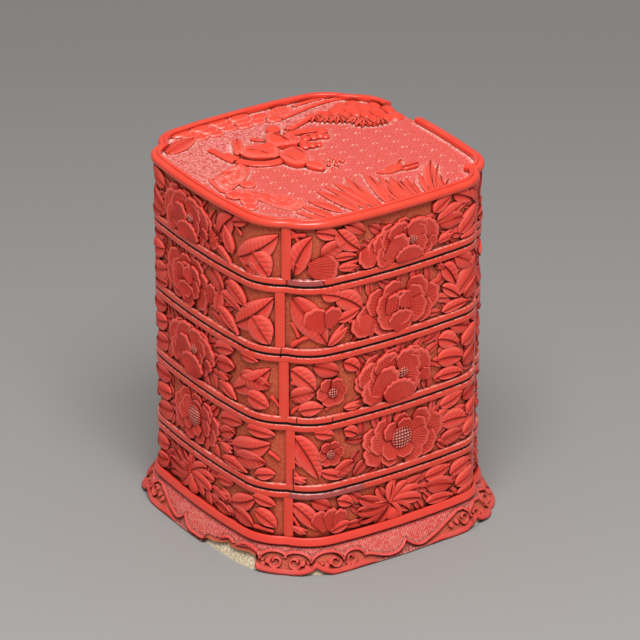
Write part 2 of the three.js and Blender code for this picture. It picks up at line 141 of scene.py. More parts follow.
print("side length", round(HALF[True]["length"] + HALF[False]["length"], 1), "mm")

# %% [markdown]
# ## Camera, floor and light
#
# A long lens from the front right, a little above, keeps the uprights almost parallel. The box
# stands on a grey sweep, painted lighter towards the lens and darker behind the box as painted light
# falloff, under one large soft lamp, high above the lens, and an even sky.

# %% Objects of the scene
def add_object(name, data):
    """A new object at the origin"""
    made = bpy.data.objects.new(name, data)
    bpy.context.scene.collection.objects.link(made)
    return made


# %% Camera
AZIMUTH, ELEVATION, DISTANCE = math.radians(55.98), math.radians(25.88), 1.859
LENS, SENSOR = 263.8, 36
# The aim in metres: its height on the axis, then shifts to the right and up in the picture
AIM, AIM_RIGHT, AIM_UP = 0.075, 0.00095, 0.00286
back = Vector((
    math.sin(AZIMUTH) * math.cos(ELEVATION),
    -math.cos(AZIMUTH) * math.cos(ELEVATION),
    math.sin(ELEVATION),
))
right = Vector((math.cos(AZIMUTH), math.sin(AZIMUTH), 0))
up = back.cross(right)
camera = add_object("camera", bpy.data.cameras.new("camera"))
camera.data.lens = LENS
camera.data.sensor_width = SENSOR
aim = Vector((0, 0, AIM)) + right * AIM_RIGHT + up * AIM_UP
turned = Matrix((right, up, back)).transposed()
camera.matrix_world = Matrix.Translation(aim + back * DISTANCE) @ turned.to_4x4()
bpy.context.scene.camera = camera
bpy.context.scene.view_settings.view_transform = "Standard"
print("camera at", [round(value, 3) for value in camera.location])


# %% Colours and nodes
def linear(code):
    """A linear colour from an sRGB hex value such as #c8382c"""
    parts = [int(code[start:start + 2], 16) / 255 for start in (1, 3, 5)]
    return [p / 12.92 if p <= 0.04045 else ((p + 0.055) / 1.055) ** 2.4 for p in parts] + [1.0]


def add_node(tree, kind, settings=None, inputs=None):
    """Adds a node, sets its properties, and gives each input a value or the output it links to"""
    node = tree.nodes.new(kind)
    for name, value in (settings or {}).items():
        setattr(node, name, value)
    for name, value in (inputs or {}).items():
        if isinstance(value, bpy.types.NodeSocket):
            tree.links.new(value, node.inputs[name])
        else:
            node.inputs[name].default_value = value
    return node


# Each of these adds nodes and gives back the output that carries on
def calculate(tree, operation, first, second):
    """Two values put together"""
    return add_node(tree, "ShaderNodeMath", {"operation": operation}, {0: first, 1: second}).outputs[0]


def remap(tree, value, low, high, to_low=0.0, to_high=1.0):
    """A value taken from one range to another"""
    return add_node(tree, "ShaderNodeMapRange", {}, {
        "Value": value, "From Min": low, "From Max": high, "To Min": to_low, "To Max": to_high,
    }).outputs[0]


def blend(tree, share, first, second):
    """A mix of two colours, each a hex value or an output"""
    first, second = (linear(end) if isinstance(end, str) else end for end in (first, second))
    mix = add_node(tree, "ShaderNodeMix", {"data_type": "RGBA"}, {"Factor": share, 6: first, 7: second})
    return mix.outputs[2]


def grains(tree, size_mm, detail, roughness=0.5, distortion=0.0):
    """Noise with grains of one size on the object"""
    place = add_node(tree, "ShaderNodeTexCoord")
    return add_node(tree, "ShaderNodeTexNoise", {}, {
        "Vector": place.outputs["Object"], "Scale": 1 / (size_mm * MM), "Detail": detail,
        "Roughness": roughness, "Distortion": distortion,
    }).outputs["Fac"]


def mark(tree, name):
    """A number that the mesh carries at each point"""
    return add_node(tree, "ShaderNodeAttribute", {"attribute_name": name}).outputs["Fac"]


def open_air(tree, reach_mm, low, high, to_high=1.0):
    """How open a spot is to the air around it"""
    crevice = add_node(tree, "ShaderNodeAmbientOcclusion", {"samples": 6}, {"Distance": reach_mm * MM})
    return remap(tree, crevice.outputs["AO"], low, high, to_high=to_high)


def bump(tree, height, strength, depth_mm):
    """A surface that seems to rise and fall"""
    return add_node(tree, "ShaderNodeBump", {}, {
        "Height": height, "Strength": strength, "Distance": depth_mm * MM,
    }).outputs[0]


def new_material(name):
    """An empty node material and its tree"""
    material = bpy.data.materials.new(name)
    material.use_nodes = True
    material.node_tree.nodes.clear()
    return material, material.node_tree


def surface(tree, inputs):
    """Ends a material's tree with its surface"""
    skin = add_node(tree, "ShaderNodeBsdfPrincipled", {}, inputs)
    add_node(tree, "ShaderNodeOutputMaterial", {}, {"Surface": skin.outputs[0]})


# %% Floor
FLOOR_HALF = 6.0
floor_mesh = bpy.data.meshes.new("floor")
floor_corners = [(-1, -1), (1, -1), (1, 1), (-1, 1)]
floor_mesh.from_pydata([(x * FLOOR_HALF, y * FLOOR_HALF, 0) for x, y in floor_corners], [], [(0, 1, 2, 3)])
floor = add_object("floor", floor_mesh)
sweep_paper, tree = new_material("grey sweep paper")
# Painted light falloff: the floor is lighter towards the lens and darker behind the box
toward = add_node(tree, "ShaderNodeVectorMath", {"operation": "DOT_PRODUCT"}, {
    0: add_node(tree, "ShaderNodeTexCoord").outputs["Object"],
    1: (math.sin(AZIMUTH), -math.cos(AZIMUTH), 0),
})
shade = remap(tree, toward.outputs["Value"], -0.45, 0.3)
surface(tree, {"Base Color": blend(tree, shade, "#7f7d7b", "#979593"), "Roughness": 0.85})
floor_mesh.materials.append(sweep_paper)

# %% Lamp and sky
LAMP_SIZE, LAMP_POWER, SKY_STRENGTH = (0.95, 0.75), 34.5, 0.47
LAMP_PLACE, LAMP_AIM = (0.74, -0.42, 1.55), Vector((0, 0, 0.08))
lamp = add_object("soft box", bpy.data.lights.new("soft box", "AREA"))
lamp.data.shape = "RECTANGLE"
lamp.data.size, lamp.data.size_y = LAMP_SIZE
lamp.data.energy = LAMP_POWER
lamp.location = LAMP_PLACE
lamp.rotation_euler = (LAMP_AIM - lamp.location).to_track_quat("-Z", "Y").to_euler()

sky = bpy.data.worlds.new("even sky")
bpy.context.scene.world = sky
sky.use_nodes = True
tree = sky.node_tree
tree.nodes.clear()
rays = add_node(tree, "ShaderNodeLightPath").outputs
straight = calculate(tree, "MAXIMUM", rays["Is Camera Ray"], rays["Is Transmission Ray"])
seen = calculate(tree, "MAXIMUM", straight, rays["Is Glossy Ray"])
lit = add_node(tree, "ShaderNodeBackground", {}, {"Color": linear("#ffffff"), "Strength": SKY_STRENGTH})
behind = add_node(tree, "ShaderNodeBackground", {}, {"Color": linear("#898785"), "Strength": 1.0})
both = add_node(tree, "ShaderNodeMixShader", {}, {0: seen, 1: lit.outputs[0], 2: behind.outputs[0]})
add_node(tree, "ShaderNodeOutputWorld", {}, {"Surface": both.outputs[0]})
print("one lamp of", LAMP_POWER, "W and an even sky")


# %% [markdown]
# ## Finishes
#
# Carved lacquer is hundreds of brushed coats of cinnabar red. Cut edges stay matt, the polished rims
# shine a little, wear turns high edges pinkish, and pale dust sits in the engraved lines. The pink on
# the edges is also a painted highlight, the pale tops of the bands are partly a painted sheen, and
# hollows and crevices are painted darker as painted shade. The meshes carry numbers at each point
# for this: dust and painted sheen in the cuts and on the band tops, wear and painted highlight on
# the edges, painted shade near the ground and in grooves, and bareness where the tan coats below the
# red are laid open.

# %% Carved and polished lacquer
def red_lacquer(name, colour, high, low, roughness, polish, grain_mm):
    """Red lacquer: its colour, worn and highlighted edges, painted shade in its depths, and its brushed grain
    """
    material, tree = new_material(name)
    grain = grains(tree, grain_mm, 6, 0.65)
    cloud = remap(tree, grains(tree, 14, 4, 0.6), 0.35, 0.7, to_high=0.6)
    # Painted shade: marked points near the ground and in grooves go towards the dark colour
    shaded = blend(tree, mark(tree, "painted_shade"), blend(tree, cloud, colour, high), low)
    # Wear and a painted highlight: marked edges go pale pink
    rubbed = blend(tree, calculate(tree, "MULTIPLY", mark(tree, "wear_and_highlight"), grain), shaded, "#f59486")
    # Dust in the cuts, and a painted sheen on the tops of the bands: pale pink
    settled = calculate(tree, "MULTIPLY", mark(tree, "dust_and_sheen"), remap(tree, grain, 0.42, 0.62))
    opened = blend(tree, mark(tree, "bare"), blend(tree, settled, rubbed, "#e8b8aa"), "#b4583a")
    # Painted shade in crevices found by ambient occlusion, which also dims the specular there
    air = open_air(tree, 2.0, 0.28, 0.88)
    surface(tree, {
        "Base Color": blend(tree, air, low, opened), "IOR": 1.5,
        "Roughness": remap(tree, grain, 0.3, 0.7, roughness - 0.06, roughness + 0.1),
        "Specular IOR Level": calculate(tree, "MULTIPLY", air, 0.15 + polish),
        "Coat Weight": polish, "Coat Roughness": 0.8 * roughness, "Normal": bump(tree, grain, 0.25, 0.12),
    })
    return material


# Each finish's third colour is the painted shade of its hollows and crevices
CARVED = red_lacquer("carved cinnabar lacquer", "#e24034", "#ea5a4c", "#240201", 0.46, 0.0, 0.9)
POLISHED = red_lacquer("polished cinnabar lacquer", "#df3c28", "#e74e38", "#4a0d09", 0.28, 0.3, 1.6)
HANDLED = red_lacquer("handled ledge lacquer", "#dc3626", "#e44a38", "#4a0d09", 0.38, 0.35, 1.6)
RUBBED = red_lacquer("rubbed foot lacquer", "#cf423a", "#d8645c", "#260302", 0.5, 0.05, 1.1)
REPAIR = red_lacquer("mauve repair lacquer", "#a63c3a", "#ba544e", "#3a0d0c", 0.26, 0.4, 2.2)


# %% Engraved field of the lid
ENGRAVED_PITCH = 0.9


def engraved_field():
    """Engraved lacquer: wavy lines where the mesh says water, worm-like stipple where it says land"""
    material, tree = new_material("engraved cinnabar field")
    aslant = add_node(tree, "ShaderNodeMapping", {}, {
        "Vector": add_node(tree, "ShaderNodeTexCoord").outputs["Object"],
        "Rotation": (0, 0, math.radians(-28)),
    })
    # Wave bands are 2 pi / 20 apart at scale 1
    wave = add_node(tree, "ShaderNodeTexWave", {"bands_direction": "X"}, {
        "Vector": aslant.outputs[0], "Scale": 2 * math.pi / 20 / (ENGRAVED_PITCH * MM), "Distortion": 9.0,
        "Detail": 2, "Detail Scale": 1.5,
    })
    worm = grains(tree, 0.95, 2, distortion=1.2)
    cut = remap(tree, worm, 0.38, 0.62)
    water = blend(tree, wave.outputs["Fac"], "#bc423b", "#dd5e55")
    ground = blend(tree, mark(tree, "land"), water, blend(tree, cut, "#b33d37", "#df8078"))
    settled = calculate(tree, "MULTIPLY", open_air(tree, 2.6, 0.9, 0.6, 0.95), cut)
    surface(tree, {
        "Base Color": blend(tree, settled, ground, "#ead2c4"), "Roughness": 0.55,
        "Specular IOR Level": 0.3, "Normal": bump(tree, worm, 0.5, 0.3),
    })
    return material


FIELD = engraved_field()


# %% Tan ground, black lining, composition and wood
def earthy(name, colour, other, roughness, grain_mm, relief_mm, crevice_shade="#260604"):
    """A granular finish: two colours mixed by fine grains, painted shade in the corners, and a matching bump
    """
    material, tree = new_material(name)
    grain = grains(tree, grain_mm, 5, 0.7)
    body = blend(tree, remap(tree, grain, 0.38, 0.64), colour, other)
    # Corners found by ambient occlusion are painted towards a dark colour: painted shade
    surface(tree, {
        "Base Color": blend(tree, open_air(tree, 2.0, 0.18, 0.7), crevice_shade, body), "Roughness": roughness,
        "Specular IOR Level": 0.2, "Normal": bump(tree, grain, 0.6, relief_mm),
    })
    return material


# The dust's last colour is the painted shade in its corners; the others take the default
GROUND_TAN = earthy("tan lacquer ground", "#b2402c", "#cc6646", 0.7, 0.9, 0.25)
DUST = earthy("pale dust in pricked marks", "#ecc3b4", "#dc9a8c", 0.9, 0.8, 0.05, "#b8584c")
COMPOSITION = earthy("bare ash composition", "#a58f72", "#e6d6b8", 0.9, 1.0, 0.5)
LINING = earthy("black lacquer lining", "#100c0b", "#1d1613", 0.26, 6.0, 0.05)
WOOD = earthy("old wood core", "#5d432c", "#7d5f41", 0.75, 3.0, 0.2)
print("finishes:", len(bpy.data.materials))


# %% [markdown]
# ## Turning points into meshes
#
# A helper makes an object from points in millimetres, with its marks for dust, wear, bareness, painted
# highlight and painted shade as point attributes, and marks the edges that are sharper than forty
# degrees so that cut edges stay crisp.

# %% Mesh helpers
def smooth(mesh):
    """Smooth shading that stops at sharp edges"""
    mesh.shade_smooth()
    mesh.set_sharp_from_angle(angle=math.radians(40))


def make_object(name, points, faces, material, marks=None, edges=()):
    """An object at the origin from points in mm"""
    mesh = bpy.data.meshes.new(name)
    mesh.from_pydata(np.asarray(points) * MM, edges, faces)
    for label, values in (marks or {}).items():
        mesh.attributes.new(label, "FLOAT", "POINT").data.foreach_set("value", np.asarray(values, np.float32))
    if material:
        mesh.materials.append(material)
    mesh.validate()
    smooth(mesh)
    return add_object(name, mesh)


def ring_faces(rows, columns):
    """Faces from each ring of points to the next one up, the last row going back to the first ring"""
    index = np.arange(rows * columns).reshape(rows, columns)
    ahead, above = np.roll(index, -1, axis=1), np.roll(index, -1, axis=0)
    return np.stack([index, ahead, np.roll(above, -1, axis=1), above], -1)


def merge(name, parts):
    """Several objects joined into one"""
    if len(parts) > 1:
        with bpy.context.temp_override(active_object=parts[0], selected_editable_objects=parts):
            bpy.ops.object.join()
    parts[0].name = name
    return parts[0]


def fasten(piece, body, nodes=()):
    """Puts a piece on its body and hides the solids that it stands for"""
    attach(piece, body)
    if nodes:
        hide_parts(*nodes)


# %% [markdown]
# ## Fillets
#
# The plain bands above and below each panel are one rounded section led round the outline, so they
# are a Geometry Nodes sweep: the outline becomes a curve, a rounded rectangle runs along it, and a
# little noise keeps the hand-cut line from looking machined.

# %% Trees of Geometry Nodes
def new_tree(name, inputs, output):
    """A tree with its inputs and its output, and the outputs of its input node"""
    tree = bpy.data.node_groups.new(name, "GeometryNodeTree")
    for label, kind in inputs.items():
        tree.interface.new_socket(label, in_out="INPUT", socket_type="NodeSocket" + kind)
    tree.interface.new_socket(output, in_out="OUTPUT", socket_type="NodeSocketGeometry")
    return tree, add_node(tree, "NodeGroupInput").outputs


def end_tree(tree, made, finish, output):
    """Ends a tree with real geometry in its finish"""
    real = add_node(tree, "GeometryNodeRealizeInstances", {}, {"Geometry": made.outputs[0]})
    finished = add_node(tree, "GeometryNodeSetMaterial", {}, {
        "Geometry": real.outputs[0], "Material": finish,
    })
    add_node(tree, "NodeGroupOutput", {}, {output: finished.outputs[0]})


def run_tree(name, source, tree, inputs):
    """What a tree makes of a source, as a plain object, with the source removed"""
    modifier = source.modifiers.new(name, "NODES")
    modifier.node_group = tree
    for socket in tree.interface.items_tree:
        if socket.name in inputs:
            modifier[socket.identifier] = inputs[socket.name]
    bpy.context.view_layer.update()
    evaluated = source.evaluated_get(bpy.context.evaluated_depsgraph_get())
    mesh = bpy.data.meshes.new_from_object(evaluated)
    mesh.name = name
    bpy.data.objects.remove(source)
    smooth(mesh)
    return add_object(name, mesh)


# %% The sweep
UNEVENNESS = 0.22


def sweep_tree():
    """Outline to rounded band: width, height, rounding, unevenness, tilt, and dust with a painted sheen on
    top as inputs
    """
    numbers = dict.fromkeys(("Width", "Height", "Rounding", "Unevenness", "Tilt", "Dust_and_sheen"), "Float")
    tree, given = new_tree("lacquer band", {"Outline": "Geometry", **numbers, "Finish": "Material"}, "Band")
    curve = add_node(tree, "GeometryNodeMeshToCurve", {}, {"Mesh": given["Outline"]})
    upright = add_node(tree, "GeometryNodeSetCurveNormal", {"mode": "Z_UP"}, {"Curve": curve.outputs[0]})
    tilted = add_node(tree, "GeometryNodeSetCurveTilt", {}, {
        "Curve": upright.outputs[0], "Tilt": given["Tilt"],
    })
    section = add_node(tree, "GeometryNodeCurvePrimitiveQuadrilateral", {}, {
        "Width": given["Width"], "Height": given["Height"],
    })
    rounded = add_node(tree, "GeometryNodeFilletCurve", {"mode": "POLY"}, {
        "Curve": section.outputs[0], "Count": 4, "Radius": given["Rounding"], "Limit Radius": True,
    })
    band = add_node(tree, "GeometryNodeCurveToMesh", {}, {
        "Curve": tilted.outputs[0], "Profile Curve": rounded.outputs[0], "Fill Caps": True,
    })
    wave = add_node(tree, "ShaderNodeTexNoise", {"noise_dimensions": "3D"}, {
        "Scale": 1 / (9 * MM), "Detail": 1,
    })
    centred = add_node(tree, "ShaderNodeVectorMath", {"operation": "SUBTRACT"}, {
        0: wave.outputs["Color"], 1: (0.5, 0.5, 0.5),
    })
    drift = add_node(tree, "ShaderNodeVectorMath", {"operation": "SCALE"}, {
        0: centred.outputs[0], "Scale": given["Unevenness"],
    })
    moved = add_node(tree, "GeometryNodeSetPosition", {}, {
        "Geometry": band.outputs[0], "Offset": drift.outputs[0],
    })
    facing = add_node(tree, "ShaderNodeSeparateXYZ", {}, {
        "Vector": add_node(tree, "GeometryNodeInputNormal").outputs["Normal"],
    })
    # Upward faces take the pale mark: partly dust, partly a painted sheen on the top edges
    lying = remap(tree, facing.outputs["Z"], 0.25, 0.8, to_high=given["Dust_and_sheen"])
    dusted = add_node(tree, "GeometryNodeStoreNamedAttribute", {"data_type": "FLOAT", "domain": "POINT"}, {
        "Geometry": moved.outputs[0], "Name": "dust_and_sheen", "Value": lying,
    })
    end_tree(tree, dusted, given["Finish"], "Band")
    return tree


SWEEP = sweep_tree()


def sweep(name, runs, finish, dust_and_sheen=0.0, tilt=0.0):
    """Bands led along paths: each run is (plan points, middle height, width, height, rounding, closed)"""
    parts = []
    for path, height, width, tall, rounding, closed in runs:
        count = len(path)
        edges = [(i, (i + 1) % count) for i in range(count if closed else count - 1)]
        source = make_object(name + "_path", [(x, y, height) for x, y in path], [], None, edges=edges)
        parts.append(run_tree(name, source, SWEEP, {
            "Width": width * MM, "Height": tall * MM, "Rounding": rounding * MM,
            "Unevenness": UNEVENNESS * MM, "Tilt": tilt, "Dust_and_sheen": dust_and_sheen, "Finish": finish,
        }))
    return merge(name, parts)


# %% Fillets, ledge and their bodies
FILLET_WIDTH, FILLET_ROUNDING = 2.2, 0.45
# Fillets stop short of their tier's edge, and the ground runs a little under them
HOLD_BACK, GROUND_LAP, EDGE_ROUNDING = 0.22, 0.6, 0.05
# The bare edges of a tier, where it meets the next, carry black bands that show as a thin dark
# line: partly black lacquer, partly painted shade in the seam
MOUTH, MOUTH_WIDTH, MOUTH_REACH = 0.28, 1.6, -1.4
panel = {}
for tier in TIERS:
    bottom, top = SKIN[tier]
    below, above = tier != "base", tier != "lid"
    path, inset = ring_path(-FILLET_WIDTH / 2), (FILLET + HOLD_BACK) / 2
    # The fillets' upward faces are marked pale: partly dust, partly a painted sheen on their top edges
    fasten(sweep(tier + "_fillets", [
        (path, height, FILLET_WIDTH, FILLET - HOLD_BACK, FILLET_ROUNDING, True)
        for height in [bottom + inset] * below + [top - inset] * above
    ], POLISHED, dust_and_sheen=0.8), tier, [tier + "_carving"])
    low, high = bottom + FILLET * below, top - FILLET * above
    panel[tier] = (low, high)
    path = ring_path((GROUND + CORE) / 2)
    fasten(sweep(tier + "_ground", [
        (path, (low + high) / 2, GROUND - CORE, high - low + GROUND_LAP, EDGE_ROUNDING, True),
    ], GROUND_TAN), tier)
    path, shift = ring_path(MOUTH_REACH), (HOLD_BACK - MOUTH) / 2
    fasten(sweep(tier + "_mouth", [
        (path, height, MOUTH_WIDTH, MOUTH + HOLD_BACK, EDGE_ROUNDING, True)
        for height in [bottom + shift] * below + [top - shift] * above
    ], LINING), tier)
print("panels", {tier: [round(end, 1) for end in ends] for tier, ends in panel.items()})

LEDGE_REACH, LEDGE_WIDTH, LEDGE_ROUNDING, LEDGE_TILT = -0.9, 4.4, 0.5, math.radians(-20)
ledge_low, ledge_high = level("foot_ledge", 0), level("foot_ledge", 1)
ledge = sweep("foot_ledge_band", [
    (ring_path(LEDGE_REACH), (ledge_low + ledge_high) / 2, LEDGE_WIDTH, ledge_high - ledge_low,
     LEDGE_ROUNDING, True),
], HANDLED, tilt=LEDGE_TILT)
fasten(ledge, "base", ["foot_ledge"])


# %% [markdown]
# ## Carving tools
#
# Each leaf or petal is a small closed block whose top is a grid of heights, as if cut from the
# lacquer with a knife. The blocks are laid out flat, x along the wall, y up and h outwards, and are
# then wrapped onto the wall. A block hides what it overlaps, so a flower is petals laid over petals.

# %% Blocks of relief
# Where blocks end below the ground, and how far above that end the hollows still get painted shade
RELIEF_FOOT, HOLLOW_REACH = -0.3, 1.6


class Relief:
    """Closed blocks gathered in flat coordinates, in mm"""

    def __init__(self, low=RELIEF_FOOT, limits=None):
        self.points, self.faces, self.marks = [], [], []
        self.count = 0
        self.low, self.limits = low, limits

    def keep(self, faces, under, top, foot, dust_and_sheen, wear_and_highlight, painted_shade):
        """Adds a block's faces, the one that closes it below, and its points with their marks"""
        for group in faces:
            self.faces += (group + self.count).tolist()
        self.faces.append((under[::-1] + self.count).tolist())
        self.points.append(np.r_[top, foot])
        # The foot points get full painted shade, so a block's sides darken towards the ground
        self.marks.append(np.r_[np.c_[dust_and_sheen, wear_and_highlight, painted_shade], np.tile([0.0, 0.0, 1.0], (len(foot), 1))])
        self.count += len(top) + len(foot)

    def hollows(self, h):
        """How much painted shade each height gets: 1 at the foot of the blocks and 0 well above it"""
        return np.clip(1 - (h.ravel() - self.low) / HOLLOW_REACH, 0, 1) ** 2

    def block(self, x, y, h, dust_and_sheen=0.0, wear_and_highlight=0.0, shade=0.0):
        """A block under a grid of top points; shade is extra painted shade asked for at chosen points"""
        if self.limits is not None:
            x = np.clip(x, self.limits[0], self.limits[1])
            y = np.clip(y, self.limits[2], self.limits[3])
        dust_and_sheen, wear_and_highlight, shade = (np.broadcast_to(value, x.shape) for value in (dust_and_sheen, wear_and_highlight, shade))
        across = (x[:-1, 1:] - x[:-1, :-1]) * (y[1:, :-1] - y[:-1, :-1])
        across = across - (x[1:, :-1] - x[:-1, :-1]) * (y[:-1, 1:] - y[:-1, :-1])
        if across.sum() < 0:
            x, y, h, dust_and_sheen, wear_and_highlight, shade = (grid[::-1] for grid in (x, y, h, dust_and_sheen, wear_and_highlight, shade))
        rows, columns = x.shape
        top = np.c_[x.ravel(), y.ravel(), h.ravel()]
        index = np.arange(rows * columns).reshape(rows, columns)
        rim = np.r_[index[0, :-1], index[:-1, -1], index[-1, :0:-1], index[:0:-1, 0]]
        foot = top[rim].copy()
        foot[:, 2] = self.low
        under = rows * columns + np.arange(len(rim))
        quads = np.stack([index[:-1, :-1], index[:-1, 1:], index[1:, 1:], index[1:, :-1]], -1)
        skirt = np.c_[np.roll(rim, -1), rim, under, np.roll(under, -1)]
        # Painted shade: the larger of the shade from height and the shade asked for
        painted_shade = np.maximum(self.hollows(h), shade.ravel())
        self.keep([quads.reshape(-1, 4), skirt], under, top, foot, dust_and_sheen.ravel(), wear_and_highlight.ravel(), painted_shade)

    def disc(self, centre, x, y, h, dust_and_sheen, wear_and_highlight):
        """A block under rings of top points round a centre, the outermost ring last"""
        rings, around_ring = x.shape
        h, dust_and_sheen, wear_and_highlight = (np.broadcast_to(value, x.shape) for value in (h, dust_and_sheen, wear_and_highlight))
        index = np.arange(x.size).reshape(x.shape)
        ahead = np.roll(index, -1, axis=1)
        middle, under = x.size, x.size + 1 + np.arange(around_ring)
        fan = np.c_[np.full(around_ring, middle), index[0], ahead[0]]
        quads = np.stack([index[:-1], index[1:], ahead[1:], ahead[:-1]], -1).reshape(-1, 4)
        skirt = np.c_[ahead[-1], index[-1], under, np.roll(under, -1)]
        top = np.r_[np.c_[x.ravel(), y.ravel(), h.ravel()], [[*centre, h[0].mean()]]]
        foot = np.c_[x[-1], y[-1], np.full(around_ring, self.low)]
        marks = (np.append(values.ravel(), 0.0) for values in (dust_and_sheen, wear_and_highlight, self.hollows(h)))
        self.keep([fan, quads, skirt], under, top, foot, *marks)


def bend_line(tail, tip, bend, s):
    """Points and left-hand normals of an arched line from tail to tip"""
    tail, tip = np.array(tail, float), np.array(tip, float)
    ahead = tip - tail
    aside = np.array([-ahead[1], ahead[0]])
    middle = (tail + tip) / 2 + aside * bend
    s = s[..., None]
    points = (1 - s) ** 2 * tail + 2 * s * (1 - s) * middle + s ** 2 * tip
    slope = 2 * (1 - s) * (middle - tail) + 2 * s * (tip - middle)
    slope = slope / np.linalg.norm(slope, axis=-1, keepdims=True)
    return points, np.stack([-slope[..., 1], slope[..., 0]], -1)


# %% Leaf, petal, bud, dome and twig
LEAF_COLUMNS = np.array([-1, -0.86, -0.5, -0.18, -0.04, 0.04, 0.18, 0.5, 0.86, 1])
VEIN_STEPS = (0.0, 0.43, 0.5, 0.57)
PLAIN_ROWS = np.array([0.0, 0.04, 0.12, 0.24, 0.4, 0.58, 0.76, 0.9, 0.97, 1.0])


def leaf(relief, tail, tip, width, bend, top, fold=0.6, side=1, blunt=0.8, vein_mm=2.3, veined=1, depth=0.12):
    """A leaf cut as two planes that step at the midrib, with side veins on none, one or both halves"""
    length = math.dist(tail, tip)
    veins = max(2, round(length / vein_mm))
    rows = np.array([vein + step for vein in range(veins) for step in VEIN_STEPS] + [veins]) / veins
    if not veined:
        rows = PLAIN_ROWS
    s, w = np.meshgrid(rows, LEAF_COLUMNS, indexing="ij")
    lean = 1.1 * width / length
    s_lean = np.clip(s + lean * (np.abs(w) - 0.25) * s * (1 - s), 0, 1)
    centre, normal = bend_line(tail, tip, bend, s_lean)
    spread = (s_lean ** 0.6) * (1 - s_lean) ** blunt
    spread = spread / ((0.6 / (0.6 + blunt)) ** 0.6 * (blunt / (0.6 + blunt)) ** blunt)
    half = np.maximum(width / 2 * spread, 0.12)
    place = centre + normal * (half * w)[..., None]
    near, raised = np.abs(w), w * side > 0
    h = top + np.where(raised, 0.12 - 0.35 * near ** 2, -fold + 0.75 * fold * near)
    h = h - 0.45 * (1 - np.sin(np.pi * np.clip(s_lean, 0.04, 0.96)) ** 0.5)
    cut = (np.arange(len(rows)) % len(VEIN_STEPS) == 2)[:, None] & (near > 0.1) & (near < 0.8)
    cut = cut & ((veined == 2) | ((veined == 1) & raised))
    h = np.where(cut, h - depth, h)
    h = h - 0.35 * (near > 0.95)
    rim = (near > 0.8) & (near < 0.95)
    # Dust in the vein cuts, wear and a painted highlight inside the edges, painted shade along the midrib
    relief.block(place[..., 0], place[..., 1], h, cut * (0.35 + depth), rim * 0.45, (near < 0.1) * 0.5)


PETAL_TILT, RIB_DEPTH = 0.28, 0.2
PETAL_ROWS = np.array([0.0, 0.3, 0.52, 0.7, 0.83, 0.92, 0.97, 1.0])


def petal(relief, root, tip, spread, top, cup, ribs=9, lobes=3):
    """A petal with nearly straight ribs, a ragged edge and a rolled lip"""
    ahead = np.subtract(tip, root)
    length, heading = np.hypot(*ahead), math.atan2(ahead[1], ahead[0])
    behind = 0.5 * length
    r, t = np.meshgrid(PETAL_ROWS, np.linspace(-1, 1, 3 * ribs + 1), indexing="ij")
    ragged = 0.06 * (1 - np.abs(np.cos(lobes * np.pi / 2 * (t + 1)))) * r ** 2
    reach = behind + length * r * (1 - 0.26 * np.abs(t) ** 2.5 - ragged)
    opening = np.radians(spread) / 2 * t * length / (length + behind)
    angle = heading + opening * (0.9 + 0.25 * np.sin(np.pi * r * 0.8))
    x = root[0] - behind * math.cos(heading) + reach * np.cos(angle)
    y = root[1] - behind * math.sin(heading) + reach * np.sin(angle)
    groove = np.cos(np.pi * ribs * (t + 1)) * 0.5 - 0.5
    h = top + cup * (r - 0.6) + RIB_DEPTH * groove * np.sin(np.pi * np.clip(r * 1.05, 0.1, 1)) ** 0.5
    h = h + 0.12 * (np.abs(r - 0.92) < 0.02) - 0.35 * (r > 0.99) - 0.25 * np.abs(t) ** 6 + PETAL_TILT * t
    edge = (r > 0.9) & (r < 0.99)
    # Wear and a painted highlight on the lip; painted shade in the rib grooves and faintly over the whole
    # petal
    relief.block(x, y, h, wear_and_highlight=edge * 0.45, shade=0.04 - groove * 0.42 * (r < 0.9) - 0.04 * edge)


BUD_TOP = 1.6


def bud(relief, tail, tip, width):
    """A bud or tulip: a middle sepal over two that lean away"""
    ahead = np.subtract(tip, tail)
    aside = np.array([-ahead[1], ahead[0]]) * width / (2.4 * max(math.dist(tail, tip), 0.1))
    unit = aside / max(np.hypot(*ahead), 0.1)
    for sign in (-1, 1):
        end = np.add(tip, sign * unit * np.hypot(*ahead))
        leaf(relief, tail, end, width * 0.6, -0.12 * sign, BUD_TOP - 0.3, fold=0.3, side=sign)
    leaf(relief, tail, tip, width * 0.62, 0.0, BUD_TOP, fold=0.2)


def dome(relief, centre, wide, high, top, hatch, swell, depth=0.25):
    """A cushion with a cross-hatched or plain crown"""
    span = np.linspace(-1, 1, 3 * max(hatch, 3) + 1)
    a, b = np.meshgrid(span, span)
    x, y = a * np.sqrt(1 - b ** 2 / 2), b * np.sqrt(1 - a ** 2 / 2)
    reach = np.clip(np.hypot(x, y), 0, 1)
    h = top - swell * reach ** 2.5
    cuts = squares = 0.0
    if hatch:
        cuts = np.maximum(np.cos(np.pi * hatch * (a + 1)), np.cos(np.pi * hatch * (b + 1))) * 0.5 + 0.5
        cuts = cuts ** 3 * (reach < 0.95)
        squares = (1 - cuts) ** 2 * (reach < 0.9)
        h = h - depth * cuts
    # Dust, wear and a painted highlight on the raised squares, painted shade in the cuts
    relief.block(centre[0] + x * wide / 2, centre[1] + y * high / 2, h, 0.5 * squares, squares, cuts)


def twig(relief, tail, tip, width, bend, top):
    """A round stem that tapers a little"""
    s, w = np.meshgrid(np.linspace(0, 1, 12), np.linspace(-1, 1, 7), indexing="ij")
    centre, normal = bend_line(tail, tip, bend, s)
    half = width / 2 * (1 - 0.25 * s) * (1 + 0.12 * np.sin(9 * s))
    place = centre + normal * (half * w)[..., None]
    h = top - 0.5 * width * (1 - np.sqrt(1 - 0.92 * w ** 2))
    relief.block(place[..., 0], place[..., 1], h)


